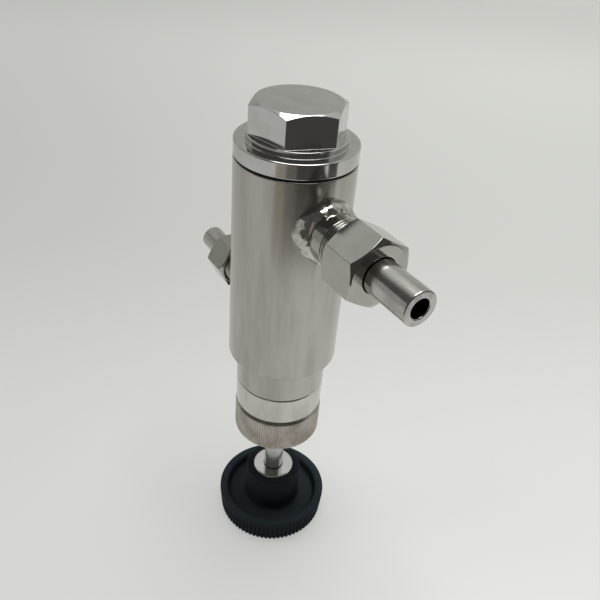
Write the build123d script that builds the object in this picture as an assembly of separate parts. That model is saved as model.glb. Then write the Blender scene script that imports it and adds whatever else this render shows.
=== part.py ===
"""Inline pressure reducing valve of turned stainless steel, standing upside down on its black hand knob.

Millimetres, +Z up. The origin is on the floor, on the valve's axis, at the centre of the knob's face.
+X runs out along the upper port and -X along the lower one.
"""

from build123d import *
import os
from collections import namedtuple
from math import cos, pi, radians, sin, tan

# Heights of the outside, from the floor up
rim_height = 13.6
hub_height = 30.4
insert_proud = 0.5
stem_show = 33.4
lock_ring_height = 18.4
ring_gap = 0.9
bonnet_ring_height = 15.0
neck_height = 17.5
barrel_height = 100.1
gasket_thick = 1.0
flange_height = 6.5
collar_height = 2.7
hex_height = 13.4

# Diameters of the outside
knob_d = 59.2
knob_face_d = 57.4
hub_d = 30.0
insert_d = 22.0
journal_d = 10.0
screw_d = 12.0
lock_ring_d = 44.0
bonnet_d = 43.4
neck_d = 43.6
barrel_d = 52.0
gasket_d = 50.6
collar_d = 42.4
hex_across_flats = 36.0
hex_turn = 14.05

# Knob: fluted rim, smooth lip, dish round the hub
flute_count = 76
flute_depth = 0.75
flute_width = 1.35
lip_width = 4.5
lip_drop = 2.2
lip_shoulder_share = 0.3
lip_crown_share = 0.25
dish_depth = 6.2
dish_draft = 1.0
dish_round = 3.0
hub_flare = 3.0
hub_round = 1.0
knob_floor = 6.0
face_round = 0.9

# Knob insert and its set screw
insert_groove_depth = 0.8
insert_groove_height = 3.0
insert_chamfer = 0.7
stem_recess_gap = 0.45
stem_recess_depth = 1.5
set_screw_d = 5.0
set_screw_length = 7.4
set_screw_height = 19.0
set_screw_turn = 146.6
socket_across_flats = 2.5
socket_depth = 2.6

# Ports: how far their axes stand above the barrel's lower edge, and the weld round each
front_port_rise = 77.8
rear_port_rise = 21.1
connector_sink = 6.0
weld_width = 3.0
weld_height = 5.2
weld_root_rise = 0.5
weld_skirt = 1.0
weld_belly_share = 0.45
weld_crown_share = 0.62

# Front union: screwed end, nut, and the tube end that it holds
front_bore_d = 8.5
front_thread_d = 22.0
front_thread_length = 10.4
front_nut_start = 43.1
front_nut_turn = 0.0
front_nut_across_flats = 27.0
front_nut_length = 18.6
front_mouth_d = 16.0
front_shoulder_d = 19.2
front_tube_d = 15.0
front_tube_show = 23.2

# Rear union, one stock size smaller
rear_bore_d = 7.0
rear_thread_d = 18.0
rear_thread_length = 9.0
rear_nut_start = 43.5
rear_nut_turn = -27.0
rear_nut_across_flats = 22.0
rear_nut_length = 15.5
rear_mouth_d = 14.0
rear_shoulder_d = 16.2
rear_tube_d = 12.0
rear_tube_show = 18.3

# Both unions
nut_face_inset = 0.6
nut_cone_gap = 0.15
tube_hole_gap = 0.4
tube_relief_depth = 0.4
tube_relief_show = 0.5
cone_depth = 8.0
cone_half_angle = 12.0
nipple_nose_gap = 0.6
nipple_step = 0.3
nipple_shoulder_length = 3.2
cone_oring_place = 5.2
cone_oring_wire = 1.5
cone_oring_sink = 0.15

# Top cap: chamfer of its hexagon, and what lies below its flange
spanner_chamfer_angle = 30.0
hex_top_inset = 0.4
cap_thread_d = 38.0
plug_length = 12.4
nose_length = 2.5
nose_gap = 0.2
guide_depth = 11.5

# Chambers in the barrel
chamber_d = 34.0
inlet_floor_drop = 20.0
web_thick = 14.0
web_orifice_d = 12.0
cylinder_d = 34.0

# Seat, strainer, poppet
seat_thread_d = 18.0
seat_depth = 8.0
seat_flange_d = 24.0
seat_flange_height = 1.8
seat_bore_d = 8.0
seat_bore_chamfer = 0.6
seat_lip_height = 0.9
seat_lip_width = 0.9
strainer_d = 31.0
strainer_wall = 0.8
strainer_slots = 16
strainer_slot_width = 2.0
strainer_band = 5.0
poppet_d = 16.0
poppet_height = 9.3
poppet_stem_d = 7.0
poppet_stem_length = 24.5
disc_d = 13.0
disc_hole_d = 5.2
disc_thick = 2.5
disc_proud = 0.3
poppet_wire = 1.2
poppet_coil_d = 12.2
poppet_coils = 6

# Piston and push rod
piston_lift = 2.0
crown_margin = 5.7
piston_length = 11.0
piston_rest_gap = 0.4
rod_d = 4.0
rod_sink = 4.0
piston_oring_wire = 2.65
groove_share = 1.1
guide_ring_rise = 1.4
guide_ring_height = 3.6
guide_ring_wall = 1.7
button_boss_d = 12.4
button_boss_height = 3.0

# Bonnet, range spring and its buttons
bonnet_thread_d = 38.0
spring_bore_d = 29.2
tail_d = 34.0
lock_floor = 5.2
lock_hole_gap = 0.6
collet_head = 1.0
collet_taper_length = 3.5
collet_head_d = 19.8
collet_tip_d = 16.0
collet_slit = 1.0
bush_length = 7.5
bush_d = 18.0
bush_edge = 0.3
button_d = 27.6
button_thick = 3.0
button_hub_d = 17.6
button_roof = 2.5
button_bore_gap = 0.5
range_wire = 3.0
range_coil_d = 22.8
range_coils = 4
ball_d = 6.0
ball_sink = 1.2
screw_nose = 4.0
stop_ring_d = 15.2
stop_ring_thick = 1.2
stop_ring_groove_d = 10.6
stop_ring_mouth = 6.4
button_lift_gap = 0.85
journal_share = 0.5

# Knurl of the lock ring
knurl_teeth = 110
knurl_depth = 0.45

# Clearances and edge breaks, and how far a cut runs past the metal
running = 0.05
seat_gap = 0.1
edge = 0.5
thread_chamfer = 0.9
overrun = 1.0

# Levels up the axis
insert_top = hub_height + insert_proud
lock_bottom = insert_top + stem_show
lock_top = lock_bottom + lock_ring_height
bonnet_bottom = lock_top + ring_gap
neck_bottom = bonnet_bottom + bonnet_ring_height
barrel_bottom = neck_bottom + neck_height
barrel_top = barrel_bottom + barrel_height
flange_bottom = barrel_top + gasket_thick
flange_top = flange_bottom + flange_height
collar_top = flange_top + collar_height
hex_top = collar_top + hex_height
front_port_z = barrel_bottom + front_port_rise
rear_port_z = barrel_bottom + rear_port_rise

# Levels inside the barrel
plug_bottom = barrel_top - plug_length
nose_bottom = plug_bottom - nose_length
web_top = front_port_z - inlet_floor_drop
web_bottom = web_top - web_thick
seat_floor = web_top - seat_depth
seat_lip = web_top + seat_flange_height + seat_lip_height
disc_bottom = seat_lip + seat_gap
disc_top = disc_bottom + disc_thick
poppet_bottom = disc_bottom + disc_proud
poppet_shoulder = poppet_bottom + poppet_height
piston_crown = rear_port_z - rear_bore_d / 2 - piston_lift - crown_margin
piston_bottom = piston_crown - piston_length
spigot_top = piston_bottom - piston_rest_gap
range_top = piston_bottom - button_thick - seat_gap

# Levels inside the bonnet
lock_inside = lock_bottom + lock_floor
tail_bottom = lock_inside + collet_head
taper_top = tail_bottom + collet_taper_length
bush_bottom = taper_top + edge
bush_top = bush_bottom + bush_length
stop_ring_bottom = bush_top + seat_gap
button_bottom = stop_ring_bottom + stop_ring_thick + button_lift_gap
button_top = button_bottom + button_thick
screw_top = button_bottom + screw_nose
ball_z = screw_top - ball_sink + ball_d / 2
pocket_top = ball_z + ball_d / 2
button_bore_top = pocket_top - ball_sink
thread_bottom = insert_top + journal_share * stem_show

# The two unions: each one's sizes, gathered under one name
Union = namedtuple("Union", "bore_d thread_d thread_length start turn across_flats length "
                            "mouth_d shoulder_d tube_d show")
front_union = Union(
    front_bore_d, front_thread_d, front_thread_length, front_nut_start, front_nut_turn,
    front_nut_across_flats, front_nut_length, front_mouth_d, front_shoulder_d, front_tube_d, front_tube_show)
rear_union = Union(
    rear_bore_d, rear_thread_d, rear_thread_length, rear_nut_start, rear_nut_turn,
    rear_nut_across_flats, rear_nut_length, rear_mouth_d, rear_shoulder_d, rear_tube_d, rear_tube_show)


def turned(*runs):
    """A solid turned about the valve's axis. Its half-section is drawn as radius and height."""
    edges = [piece for run in runs for piece in run.edges()]
    return revolve(Plane.XZ * make_face(edges), Axis.Z)


def port_turned(*runs):
    """A solid turned about +X. Its half-section is drawn as distance out along the port and radius."""
    edges = [piece for run in runs for piece in run.edges()]
    return revolve(make_face(edges), Axis.X)


def outline(*points):
    """A closed outline of straight lines."""
    return Polyline(*points, close=True)


def tube(inner_r, outer_r, bottom, top, break_edge=0.0):
    """A plain ring about the valve's axis, with its outer edges broken if asked."""
    points = [(inner_r, bottom), (outer_r - break_edge, bottom)]
    if break_edge > 0:
        points += [(outer_r, bottom + break_edge), (outer_r, top - break_edge)]
    points += [(outer_r - break_edge, top), (inner_r, top)]
    return turned(outline(*points))


def standing(radius, bottom, height):
    """A plain cylinder on the valve's axis."""
    return Pos(0, 0, bottom) * Cylinder(radius, height, align=(Align.CENTER, Align.CENTER, Align.MIN))


def polygon(radius, turn, count=6):
    """A regular polygon face from its corner circle and the angle of its first corner."""
    angles = [radians(turn + 360 * k / count) for k in range(count)]
    return make_face(outline(*[(radius * cos(a), radius * sin(a)) for a in angles]).edges())


def coil(wire, coil_d, coils, bottom, top):
    """An open-wound compression spring of square wire with both ends ground flat."""
    length = top - bottom
    path = Helix(length / coils, length + 2 * wire, coil_d / 2, center=(0, 0, bottom - wire))
    section = Plane(origin=path @ 0, x_dir=(1, 0, 0), z_dir=path % 0) * Rectangle(wire, wire)
    wound = sweep(section, path=path, is_frenet=True)
    block = Pos(0, 0, (bottom + top) / 2) * Box(2 * coil_d, 2 * coil_d, length)
    return wound & block


def seal(centre_r, wire):
    """An O-ring about the valve's axis as it lies in its groove, pressed to eight flats."""
    half = wire / 2
    side = half * tan(radians(22.5))
    return turned(outline(
        (centre_r - half, -side), (centre_r - side, -half),
        (centre_r + side, -half), (centre_r + half, -side),
        (centre_r + half, side), (centre_r + side, half),
        (centre_r - side, half), (centre_r - half, side),
    ))


def insert_envelope():
    """The outside of the knob's insert, with the two grooves that hold it in the hub."""
    r = insert_d / 2
    waist = r - insert_groove_depth
    middle = (knob_floor + hub_height) / 2
    low = (knob_floor + middle - insert_groove_height) / 2
    high = (middle + hub_height - insert_groove_height) / 2
    return turned(outline(
        (0, knob_floor), (r, knob_floor),
        (r, low), (waist, low), (waist, low + insert_groove_height), (r, low + insert_groove_height),
        (r, high), (waist, high), (waist, high + insert_groove_height), (r, high + insert_groove_height),
        (r, insert_top - insert_chamfer), (r - insert_chamfer, insert_top), (0, insert_top),
    ))


def knob_insert():
    """Steel boss moulded into the hub, with a shallow recess that leaves a ring round the stem."""
    bore = standing(journal_d / 2, knob_floor, insert_top - knob_floor)
    recess = standing(journal_d / 2 + stem_recess_gap, insert_top - stem_recess_depth, stem_recess_depth)
    return insert_envelope() - bore - recess - set_screw_hole()


def set_screw_hole():
    """The radial hole for the set screw, from the stem out through the hub."""
    hole = Cylinder(set_screw_d / 2, hub_d, align=(Align.CENTER, Align.CENTER, Align.MIN))
    return Rot(0, 0, set_screw_turn) * Pos(journal_d / 2, 0, set_screw_height) * Rot(0, 90, 0) * hole


def knob_set_screw():
    """Grub screw with a hexagon socket, sunk in the far side of the hub."""
    grub = Cylinder(set_screw_d / 2, set_screw_length, align=(Align.CENTER, Align.CENTER, Align.MIN))
    socket = extrude(polygon(socket_across_flats / 3 ** 0.5, 0), socket_depth)
    grub -= Pos(0, 0, set_screw_length - socket_depth) * socket
    return Rot(0, 0, set_screw_turn) * Pos(journal_d / 2, 0, set_screw_height) * Rot(0, 90, 0) * grub


def flutes():
    """The knob's grip: flat-bottomed grooves cut down the rim, turn by turn."""
    floor_r = knob_d / 2 - flute_depth
    outer_r = knob_d / 2 + overrun
    floor = flute_width / 4 / floor_r
    mouth = flute_width / 2 / (knob_d / 2)
    step = 2 * pi / flute_count
    corners = []
    for k in range(flute_count):
        for radius, offset in ((outer_r, -mouth), (floor_r, -floor), (floor_r, floor), (outer_r, mouth)):
            corners.append((radius * cos(k * step + offset), radius * sin(k * step + offset)))
    return extrude(make_face(outline(*corners).edges()), rim_height - lip_drop)


def knob():
    """Moulded hand knob, face down: drafted fluted rim, smooth lip, deep dished back and a hub."""
    rim_r = knob_d / 2
    face_r = knob_face_d / 2
    hub_r = hub_d / 2
    lip_in = rim_r - lip_width
    wall_r = lip_in - dish_draft
    rim_top = rim_height - lip_drop
    dish_z = rim_height - dish_depth
    sagitta = 1 - cos(radians(45))
    lip_middle = (rim_r - lip_shoulder_share * lip_width, rim_height - lip_crown_share * lip_drop)
    wall_middle = (wall_r - sagitta * dish_round, dish_z + sagitta * dish_round)
    flare_middle = (hub_r + sagitta * hub_flare, dish_z + sagitta * hub_flare)
    round_middle = (hub_r - sagitta * hub_round, hub_height - sagitta * hub_round)
    shape = turned(
        Polyline((0, hub_height), (0, 0), (face_r - face_round, 0), (face_r, face_round), (rim_r, rim_top)),
        ThreePointArc((rim_r, rim_top), lip_middle, (lip_in, rim_height)),
        Line((lip_in, rim_height), (wall_r, dish_z + dish_round)),
        ThreePointArc((wall_r, dish_z + dish_round), wall_middle, (wall_r - dish_round, dish_z)),
        Line((wall_r - dish_round, dish_z), (hub_r + hub_flare, dish_z)),
        ThreePointArc((hub_r + hub_flare, dish_z), flare_middle, (hub_r, dish_z + hub_flare)),
        Line((hub_r, dish_z + hub_flare), (hub_r, hub_height - hub_round)),
        ThreePointArc((hub_r, hub_height - hub_round), round_middle, (hub_r - hub_round, hub_height)),
        Line((hub_r - hub_round, hub_height), (0, hub_height)),
    )
    shape = shape & (flutes() + standing(knob_d, rim_top, hub_height))
    return shape - insert_envelope() - set_screw_hole()


def adjusting_screw():
    """Stem: plain journal in the knob, screw thread above it, a ball pocket in its top end."""
    journal_r = journal_d / 2
    thread_r = screw_d / 2
    groove_r = stop_ring_groove_d / 2
    stem = turned(outline(
        (0, knob_floor), (journal_r - edge, knob_floor), (journal_r, knob_floor + edge),
        (journal_r, thread_bottom), (thread_r, thread_bottom + thread_chamfer),
        (thread_r, stop_ring_bottom), (groove_r, stop_ring_bottom),
        (groove_r, stop_ring_bottom + stop_ring_thick), (thread_r, stop_ring_bottom + stop_ring_thick),
        (thread_r, screw_top - thread_chamfer), (thread_r - thread_chamfer, screw_top), (0, screw_top),
    ))
    return stem - Pos(0, 0, ball_z) * Sphere(ball_d / 2 + running)


def stop_ring():
    """Open retaining ring that stops the screw from being wound out."""
    top = stop_ring_bottom + stop_ring_thick
    ring = tube(stop_ring_groove_d / 2, stop_ring_d / 2, stop_ring_bottom, top)
    mouth = Box(stop_ring_d, stop_ring_mouth, stop_ring_thick, align=(Align.MIN, Align.CENTER, Align.MIN))
    return ring - Pos(0, 0, stop_ring_bottom) * mouth


def lock_ring():
    """Knurled ring that screws up the bonnet's tail and squeezes the collet onto the stem."""
    r = lock_ring_d / 2
    root_r = r - knurl_depth
    tail_r = tail_d / 2 + running
    hole_r = screw_d / 2 + lock_hole_gap
    chamfer = 2 * knurl_depth
    core = turned(outline(
        (hole_r, lock_bottom), (root_r - chamfer, lock_bottom), (root_r, lock_bottom + chamfer),
        (root_r, lock_top - chamfer), (root_r - chamfer, lock_top), (tail_r + edge, lock_top),
        (tail_r, lock_top - edge), (tail_r, lock_inside), (hole_r, lock_inside),
    ))
    corners = []
    for k in range(knurl_teeth):
        for share, radius in ((0.0, r), (0.5, root_r)):
            angle = 2 * pi * (k + share) / knurl_teeth
            corners.append((radius * cos(angle), radius * sin(angle)))
    teeth = extrude(make_face(outline(*corners).edges()), lock_ring_height - 2 * chamfer)
    band = Pos(0, 0, lock_bottom + chamfer) * teeth
    return core + (band - standing((tail_r + root_r) / 2, lock_bottom, lock_ring_height))


def lock_collet():
    """Split taper collet round the stem, held between the lock ring's floor and the bonnet's taper."""
    bore_r = screw_d / 2 + running
    head_r = collet_head_d / 2
    tip_r = collet_tip_d / 2
    collet = turned(outline(
        (bore_r, lock_inside + seat_gap), (head_r, lock_inside + seat_gap), (head_r, tail_bottom),
        (tip_r, taper_top), (bore_r, taper_top),
    ))
    length = collet_head_d + overrun
    height = collet_taper_length + overrun
    slit = Box(collet_slit, length, height, align=(Align.CENTER, Align.CENTER, Align.MIN))
    for turn in (0, 90):
        collet -= Pos(0, 0, tail_bottom) * Rot(0, 0, turn) * slit
    return collet


def adjusting_bush():
    """Bronze bush in the bonnet's floor that carries the adjusting thread."""
    return tube(screw_d / 2 + running, bush_d / 2, bush_bottom, bush_top, bush_edge)


def bonnet():
    """Spring housing: threaded tail, plain outside ring, threaded spigot up into the valve's neck."""
    tail_r = tail_d / 2
    ring_r = bonnet_d / 2
    spigot_r = bonnet_thread_d / 2
    bore_r = spring_bore_d / 2
    return turned(outline(
        (collet_head_d / 2, tail_bottom), (tail_r - thread_chamfer, tail_bottom),
        (tail_r, tail_bottom + thread_chamfer), (tail_r, bonnet_bottom),
        (ring_r - edge, bonnet_bottom), (ring_r, bonnet_bottom + edge),
        (ring_r, neck_bottom - edge), (ring_r - edge, neck_bottom),
        (spigot_r, neck_bottom), (spigot_r, spigot_top - thread_chamfer),
        (spigot_r - thread_chamfer, spigot_top), (bore_r, spigot_top),
        (bore_r, bush_top), (bush_d / 2, bush_top), (bush_d / 2, bush_bottom),
        (collet_tip_d / 2, bush_bottom), (collet_tip_d / 2, taper_top),
    ))


def lower_spring_button():
    """Seat of the range spring, with a hub over the screw's end and a pocket for the thrust ball."""
    bore_r = screw_d / 2 + button_bore_gap
    hub_r = button_hub_d / 2
    hub_top = pocket_top + button_roof
    button = turned(outline(
        (bore_r, button_bottom), (button_d / 2, button_bottom), (button_d / 2, button_top),
        (hub_r, button_top), (hub_r, hub_top - edge), (hub_r - edge, hub_top), (0, hub_top),
        (0, button_bore_top), (bore_r, button_bore_top),
    ))
    return button - Pos(0, 0, ball_z) * Sphere(ball_d / 2 + running)


def thrust_ball():
    """Hardened ball between the turning screw and the spring button."""
    return Pos(0, 0, ball_z) * Sphere(ball_d / 2)


def range_spring():
    """The heavy spring that sets the outlet pressure."""
    return coil(range_wire, range_coil_d, range_coils, button_top, range_top)


def upper_spring_button():
    """Spring seat under the piston, centred by a boss in the piston's recess."""
    top = piston_bottom + button_boss_height
    return turned(outline(
        (0, range_top + seat_gap), (button_d / 2, range_top + seat_gap), (button_d / 2, piston_bottom),
        (button_boss_d / 2, piston_bottom), (button_boss_d / 2, top), (0, top),
    ))


def piston():
    """Sensing piston with a seal groove, a guide-ring groove and a socket for the push rod."""
    r = cylinder_d / 2 - running
    seal_r = cylinder_d / 2 - seat_gap - piston_oring_wire
    seal_mid = piston_crown - groove_share * piston_oring_wire
    half = groove_share * piston_oring_wire / 2
    guide_low = piston_bottom + guide_ring_rise
    guide_r = r - guide_ring_wall
    recess_top = piston_bottom + button_boss_height
    return turned(outline(
        (button_boss_d / 2 + running, piston_bottom), (r - edge, piston_bottom), (r, piston_bottom + edge),
        (r, guide_low), (guide_r, guide_low), (guide_r, guide_low + guide_ring_height),
        (r, guide_low + guide_ring_height), (r, seal_mid - half), (seal_r, seal_mid - half),
        (seal_r, seal_mid + half), (r, seal_mid + half), (r, piston_crown - edge),
        (r - edge, piston_crown), (rod_d / 2, piston_crown), (rod_d / 2, piston_crown - rod_sink),
        (0, piston_crown - rod_sink), (0, recess_top), (button_boss_d / 2 + running, recess_top),
    ))


def piston_oring():
    """The piston's seal."""
    ring = seal(cylinder_d / 2 - seat_gap - piston_oring_wire / 2, piston_oring_wire)
    return Pos(0, 0, piston_crown - groove_share * piston_oring_wire) * ring


def guide_ring():
    """Plastic wear ring that guides the piston."""
    r = cylinder_d / 2 - running
    bottom = piston_bottom + guide_ring_rise
    return tube(r - guide_ring_wall, r, bottom, bottom + guide_ring_height)


def push_rod():
    """Rod from the piston's crown up through the seat to the poppet."""
    bottom = piston_crown - rod_sink
    top = disc_top - seat_gap
    r = rod_d / 2
    return turned(outline((0, bottom), (r, bottom), (r, top - edge), (r - edge, top), (0, top)))


def seat_ring():
    """Screwed-in seat with a raised lip round its bore."""
    lip_in = seat_bore_d / 2 + seat_bore_chamfer
    lip_out = lip_in + seat_lip_width
    flange = web_top + seat_flange_height
    thread_r = seat_thread_d / 2
    return turned(outline(
        (seat_bore_d / 2, seat_floor), (thread_r - edge, seat_floor), (thread_r, seat_floor + edge),
        (thread_r, web_top), (seat_flange_d / 2, web_top), (seat_flange_d / 2, flange - edge),
        (seat_flange_d / 2 - edge, flange), (lip_out, flange), (lip_out, seat_lip),
        (lip_in, seat_lip), (seat_bore_d / 2, seat_lip - seat_bore_chamfer),
    ))


def strainer():
    """Slotted sleeve between the web and the cap that keeps dirt off the seat."""
    r = strainer_d / 2
    sleeve = tube(r - strainer_wall, r, web_top, plug_bottom)
    height = plug_bottom - web_top - 2 * strainer_band
    slot = Pos(0, 0, web_top + strainer_band) * Box(
        strainer_d, strainer_slot_width, height, align=(Align.MIN, Align.CENTER, Align.MIN))
    for k in range(strainer_slots):
        sleeve -= Rot(0, 0, 360 * (k + 0.5) / strainer_slots) * slot
    return sleeve


def poppet():
    """Valve plug with a soft disc below, a spring shoulder and a guide stem above."""
    r = poppet_d / 2
    stem_r = poppet_stem_d / 2
    stem_top = poppet_shoulder + poppet_stem_length
    return turned(outline(
        (disc_d / 2, poppet_bottom), (r - edge, poppet_bottom), (r, poppet_bottom + edge),
        (r, poppet_shoulder), (stem_r, poppet_shoulder), (stem_r, stem_top - edge),
        (stem_r - edge, stem_top), (0, stem_top), (0, disc_top), (disc_d / 2, disc_top),
    ))


def poppet_disc():
    """Soft sealing disc let into the poppet."""
    return tube(disc_hole_d / 2, disc_d / 2, disc_bottom, disc_top)


def poppet_spring():
    """Light spring that closes the poppet."""
    return coil(poppet_wire, poppet_coil_d, poppet_coils, poppet_shoulder, nose_bottom)


def top_cap():
    """Screwed cap: guide nose, threaded plug, flange, collar and a hexagon with a turned chamfer."""
    flat = hex_across_flats / 2
    corner = flat / cos(radians(30))
    nose_r = strainer_d / 2 - strainer_wall - nose_gap
    guide_r = poppet_stem_d / 2 + running
    plug_r = cap_thread_d / 2
    flange_r = barrel_d / 2
    collar_r = collar_d / 2
    guide_top = nose_bottom + guide_depth
    base = turned(outline(
        (guide_r, nose_bottom), (nose_r, nose_bottom), (nose_r, plug_bottom),
        (plug_r - thread_chamfer, plug_bottom), (plug_r, plug_bottom + thread_chamfer),
        (plug_r, flange_bottom), (flange_r - edge, flange_bottom), (flange_r, flange_bottom + edge),
        (flange_r, flange_top - edge), (flange_r - edge, flange_top), (collar_r + edge, flange_top),
        (collar_r, flange_top + edge), (collar_r, collar_top - edge), (collar_r - edge, collar_top),
        (0, collar_top), (0, guide_top), (guide_r, guide_top),
    ))
    prism = Pos(0, 0, collar_top) * extrude(polygon(corner, hex_turn), hex_height)
    envelope_r = corner + overrun
    face_r = flat - hex_top_inset
    rise = (envelope_r - face_r) * tan(radians(spanner_chamfer_angle))
    envelope = turned(outline(
        (0, collar_top), (envelope_r, collar_top), (envelope_r, hex_top - rise),
        (face_r, hex_top), (0, hex_top),
    ))
    return base + (prism & envelope)


def cap_gasket():
    """Flat gasket between the barrel and the cap's flange."""
    return tube(cap_thread_d / 2, gasket_d / 2, barrel_top, flange_bottom)


def valve_body():
    """Barrel and neck turned from one bar, bored from both ends to a web, with two port sockets."""
    thread_r = bonnet_thread_d / 2
    cap_r = cap_thread_d / 2
    chamber_r = chamber_d / 2
    bore_r = cylinder_d / 2
    shell = turned(outline(
        (thread_r, neck_bottom), (neck_d / 2 - edge, neck_bottom), (neck_d / 2, neck_bottom + edge),
        (neck_d / 2, barrel_bottom), (barrel_d / 2 - edge, barrel_bottom),
        (barrel_d / 2, barrel_bottom + edge), (barrel_d / 2, barrel_top - edge),
        (barrel_d / 2 - edge, barrel_top), (cap_r, barrel_top), (cap_r, plug_bottom - edge),
        (chamber_r, plug_bottom - edge), (chamber_r, web_top), (seat_thread_d / 2, web_top),
        (seat_thread_d / 2, seat_floor), (web_orifice_d / 2, seat_floor), (web_orifice_d / 2, web_bottom),
        (bore_r, web_bottom), (bore_r, spigot_top), (thread_r, spigot_top),
    ))
    start = barrel_d / 2 - connector_sink
    for union, z, turn in ((front_union, front_port_z, 0), (rear_union, rear_port_z, 180)):
        socket_r = union.thread_d / 2
        port_r = union.bore_d / 2
        socket = port_turned(outline(
            (0, 0), (barrel_d, 0), (barrel_d, socket_r), (start, socket_r), (start, port_r), (0, port_r),
        ))
        shell -= Pos(0, 0, z) * Rot(0, 0, turn) * socket
    return shell


def cone_radius(union, depth):
    """Radius of the sealing cone at a depth inside its mouth."""
    return union.mouth_d / 2 - depth * tan(radians(cone_half_angle))


def connector(union):
    """Threaded union end set into the barrel, with a sealing cone in its mouth."""
    start = barrel_d / 2 - connector_sink
    end = union.start + union.thread_length
    r = union.thread_d / 2
    bore_r = union.bore_d / 2
    bottom = cone_radius(union, cone_depth)
    return port_turned(outline(
        (start, bore_r), (start, r), (end - thread_chamfer, r), (end, r - thread_chamfer),
        (end, union.mouth_d / 2), (end - cone_depth, bottom), (end - cone_depth, bore_r),
    ))


def weld_bead(union):
    """Rounded bead in the corner between the connector and the barrel's round side."""
    r = union.thread_d / 2
    outer_r = r + weld_width
    foot = barrel_d / 2 - connector_sink + weld_root_rise
    skirt = barrel_d / 2 - weld_skirt
    crest = barrel_d / 2 + weld_height
    belly = (barrel_d / 2 + weld_belly_share * weld_height, r + weld_crown_share * weld_width)
    bead = port_turned(
        Polyline((crest, r), (foot, r), (foot, outer_r), (skirt, outer_r)),
        ThreePointArc((skirt, outer_r), belly, (crest, r)),
    )
    return bead - standing(barrel_d / 2, -barrel_height / 2, barrel_height)


def shoulder_back(union):
    """How far out the nut bears on the back of the nipple's shoulder."""
    return union.start + union.thread_length + seat_gap + nipple_step + nipple_shoulder_length


def union_nut(union):
    """Hexagon union nut: thread bore, inner cone behind the nipple, hole round the tube."""
    start = union.start
    corner = union.across_flats / 3 ** 0.5
    face_r = union.across_flats / 2 - nut_face_inset
    end = start + union.length
    drop = (corner - face_r) * tan(radians(spanner_chamfer_angle))
    bore_r = union.thread_d / 2 + running
    hole_r = union.tube_d / 2 + tube_hole_gap
    cone_r = union.shoulder_d / 2 + nut_cone_gap
    cone_start = shoulder_back(union) - (bore_r - cone_r)
    cone_end = shoulder_back(union) + (cone_r - hole_r)
    envelope = port_turned(outline(
        (start, bore_r + thread_chamfer), (start, face_r), (start + drop, corner), (end - drop, corner),
        (end, face_r), (end, hole_r + edge), (end - edge, hole_r), (cone_end, hole_r), (cone_start, bore_r),
        (start + thread_chamfer, bore_r),
    ))
    prism = Plane.YZ * polygon(corner, union.turn + 90)
    return envelope & Pos(start, 0, 0) * extrude(prism, union.length)


def nipple(union):
    """Weld-on tube end: cone nose with a seal groove, shoulder held by the nut, tube eased in the nut."""
    mouth = union.start + union.thread_length
    nose = mouth - cone_depth + nipple_nose_gap
    back = shoulder_back(union)
    shoulder_r = union.shoulder_d / 2
    mouth_r = union.mouth_d / 2 - running
    tube_r = union.tube_d / 2
    relief_r = tube_r - tube_relief_depth
    relief_end = union.start + union.length + tube_relief_show
    end = union.start + union.length + union.show
    groove = mouth - cone_oring_place
    groove_r = cone_radius(union, cone_oring_place) - running - cone_oring_wire - cone_oring_sink
    half = groove_share * cone_oring_wire / 2
    inner_r = cone_radius(union, cone_oring_place + half) - running
    outer_r = cone_radius(union, cone_oring_place - half) - running
    bore_r = union.bore_d / 2
    return port_turned(outline(
        (nose, bore_r), (nose, cone_radius(union, mouth - nose) - running),
        (groove - half, inner_r), (groove - half, groove_r),
        (groove + half, groove_r), (groove + half, outer_r),
        (mouth, mouth_r), (mouth + nipple_step, mouth_r), (mouth + nipple_step, shoulder_r),
        (back, shoulder_r), (back + shoulder_r - relief_r, relief_r), (relief_end, relief_r),
        (relief_end, tube_r), (end - edge, tube_r), (end, tube_r - edge),
        (end, bore_r + edge), (end - edge, bore_r),
    ))


def cone_oring(union):
    """Seal ring in the nipple's cone."""
    groove = union.start + union.thread_length - cone_oring_place
    centre_r = cone_radius(union, cone_oring_place) - running - cone_oring_wire / 2 - cone_oring_sink
    return Pos(groove, 0, 0) * Rot(0, 90, 0) * seal(centre_r, cone_oring_wire)


def port_pieces():
    """Both unions, each turned to its side and raised to its port."""
    pieces = {}
    sides = (("front", front_union, front_port_z, 0), ("rear", rear_union, rear_port_z, 180))
    for side, union, z, turn in sides:
        place = Pos(0, 0, z) * Rot(0, 0, turn)
        pieces[side + "_connector"] = place * connector(union)
        pieces[side + "_weld"] = place * weld_bead(union)
        pieces[side + "_union_nut"] = place * union_nut(union)
        pieces[side + "_tube_stub"] = place * nipple(union)
        pieces[side + "_cone_oring"] = place * cone_oring(union)
    return pieces


def main():
    """Builds every piece and writes one STEP file for each."""
    pieces = {
        "valve_body": valve_body(), "top_cap": top_cap(), "cap_gasket": cap_gasket(),
        "seat_ring": seat_ring(), "strainer": strainer(), "bonnet": bonnet(),
        "adjusting_bush": adjusting_bush(), "lock_collet": lock_collet(), "lock_ring": lock_ring(),
        "adjusting_screw": adjusting_screw(), "stop_ring": stop_ring(), "knob": knob(),
        "knob_insert": knob_insert(), "knob_set_screw": knob_set_screw(),
        "lower_spring_button": lower_spring_button(), "thrust_ball": thrust_ball(),
        "range_spring": range_spring(), "upper_spring_button": upper_spring_button(),
        "piston": piston(), "piston_oring": piston_oring(), "guide_ring": guide_ring(),
        "push_rod": push_rod(), "poppet": poppet(), "poppet_disc": poppet_disc(),
        "poppet_spring": poppet_spring(),
    }
    pieces.update(port_pieces())
    os.makedirs("parts", exist_ok=True)
    for name, shape in pieces.items():
        export_step(shape, f"parts/{name}.step")


main()
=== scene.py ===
"""Looks of the stainless steel pressure reducing valve that stands on its black hand knob.

Sizes are millimetres and angles degrees until a mesh is written. Places come from the frame's own boxes.
"""

import logging
from collections.abc import Sequence
from dataclasses import dataclass
from enum import Enum

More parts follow.
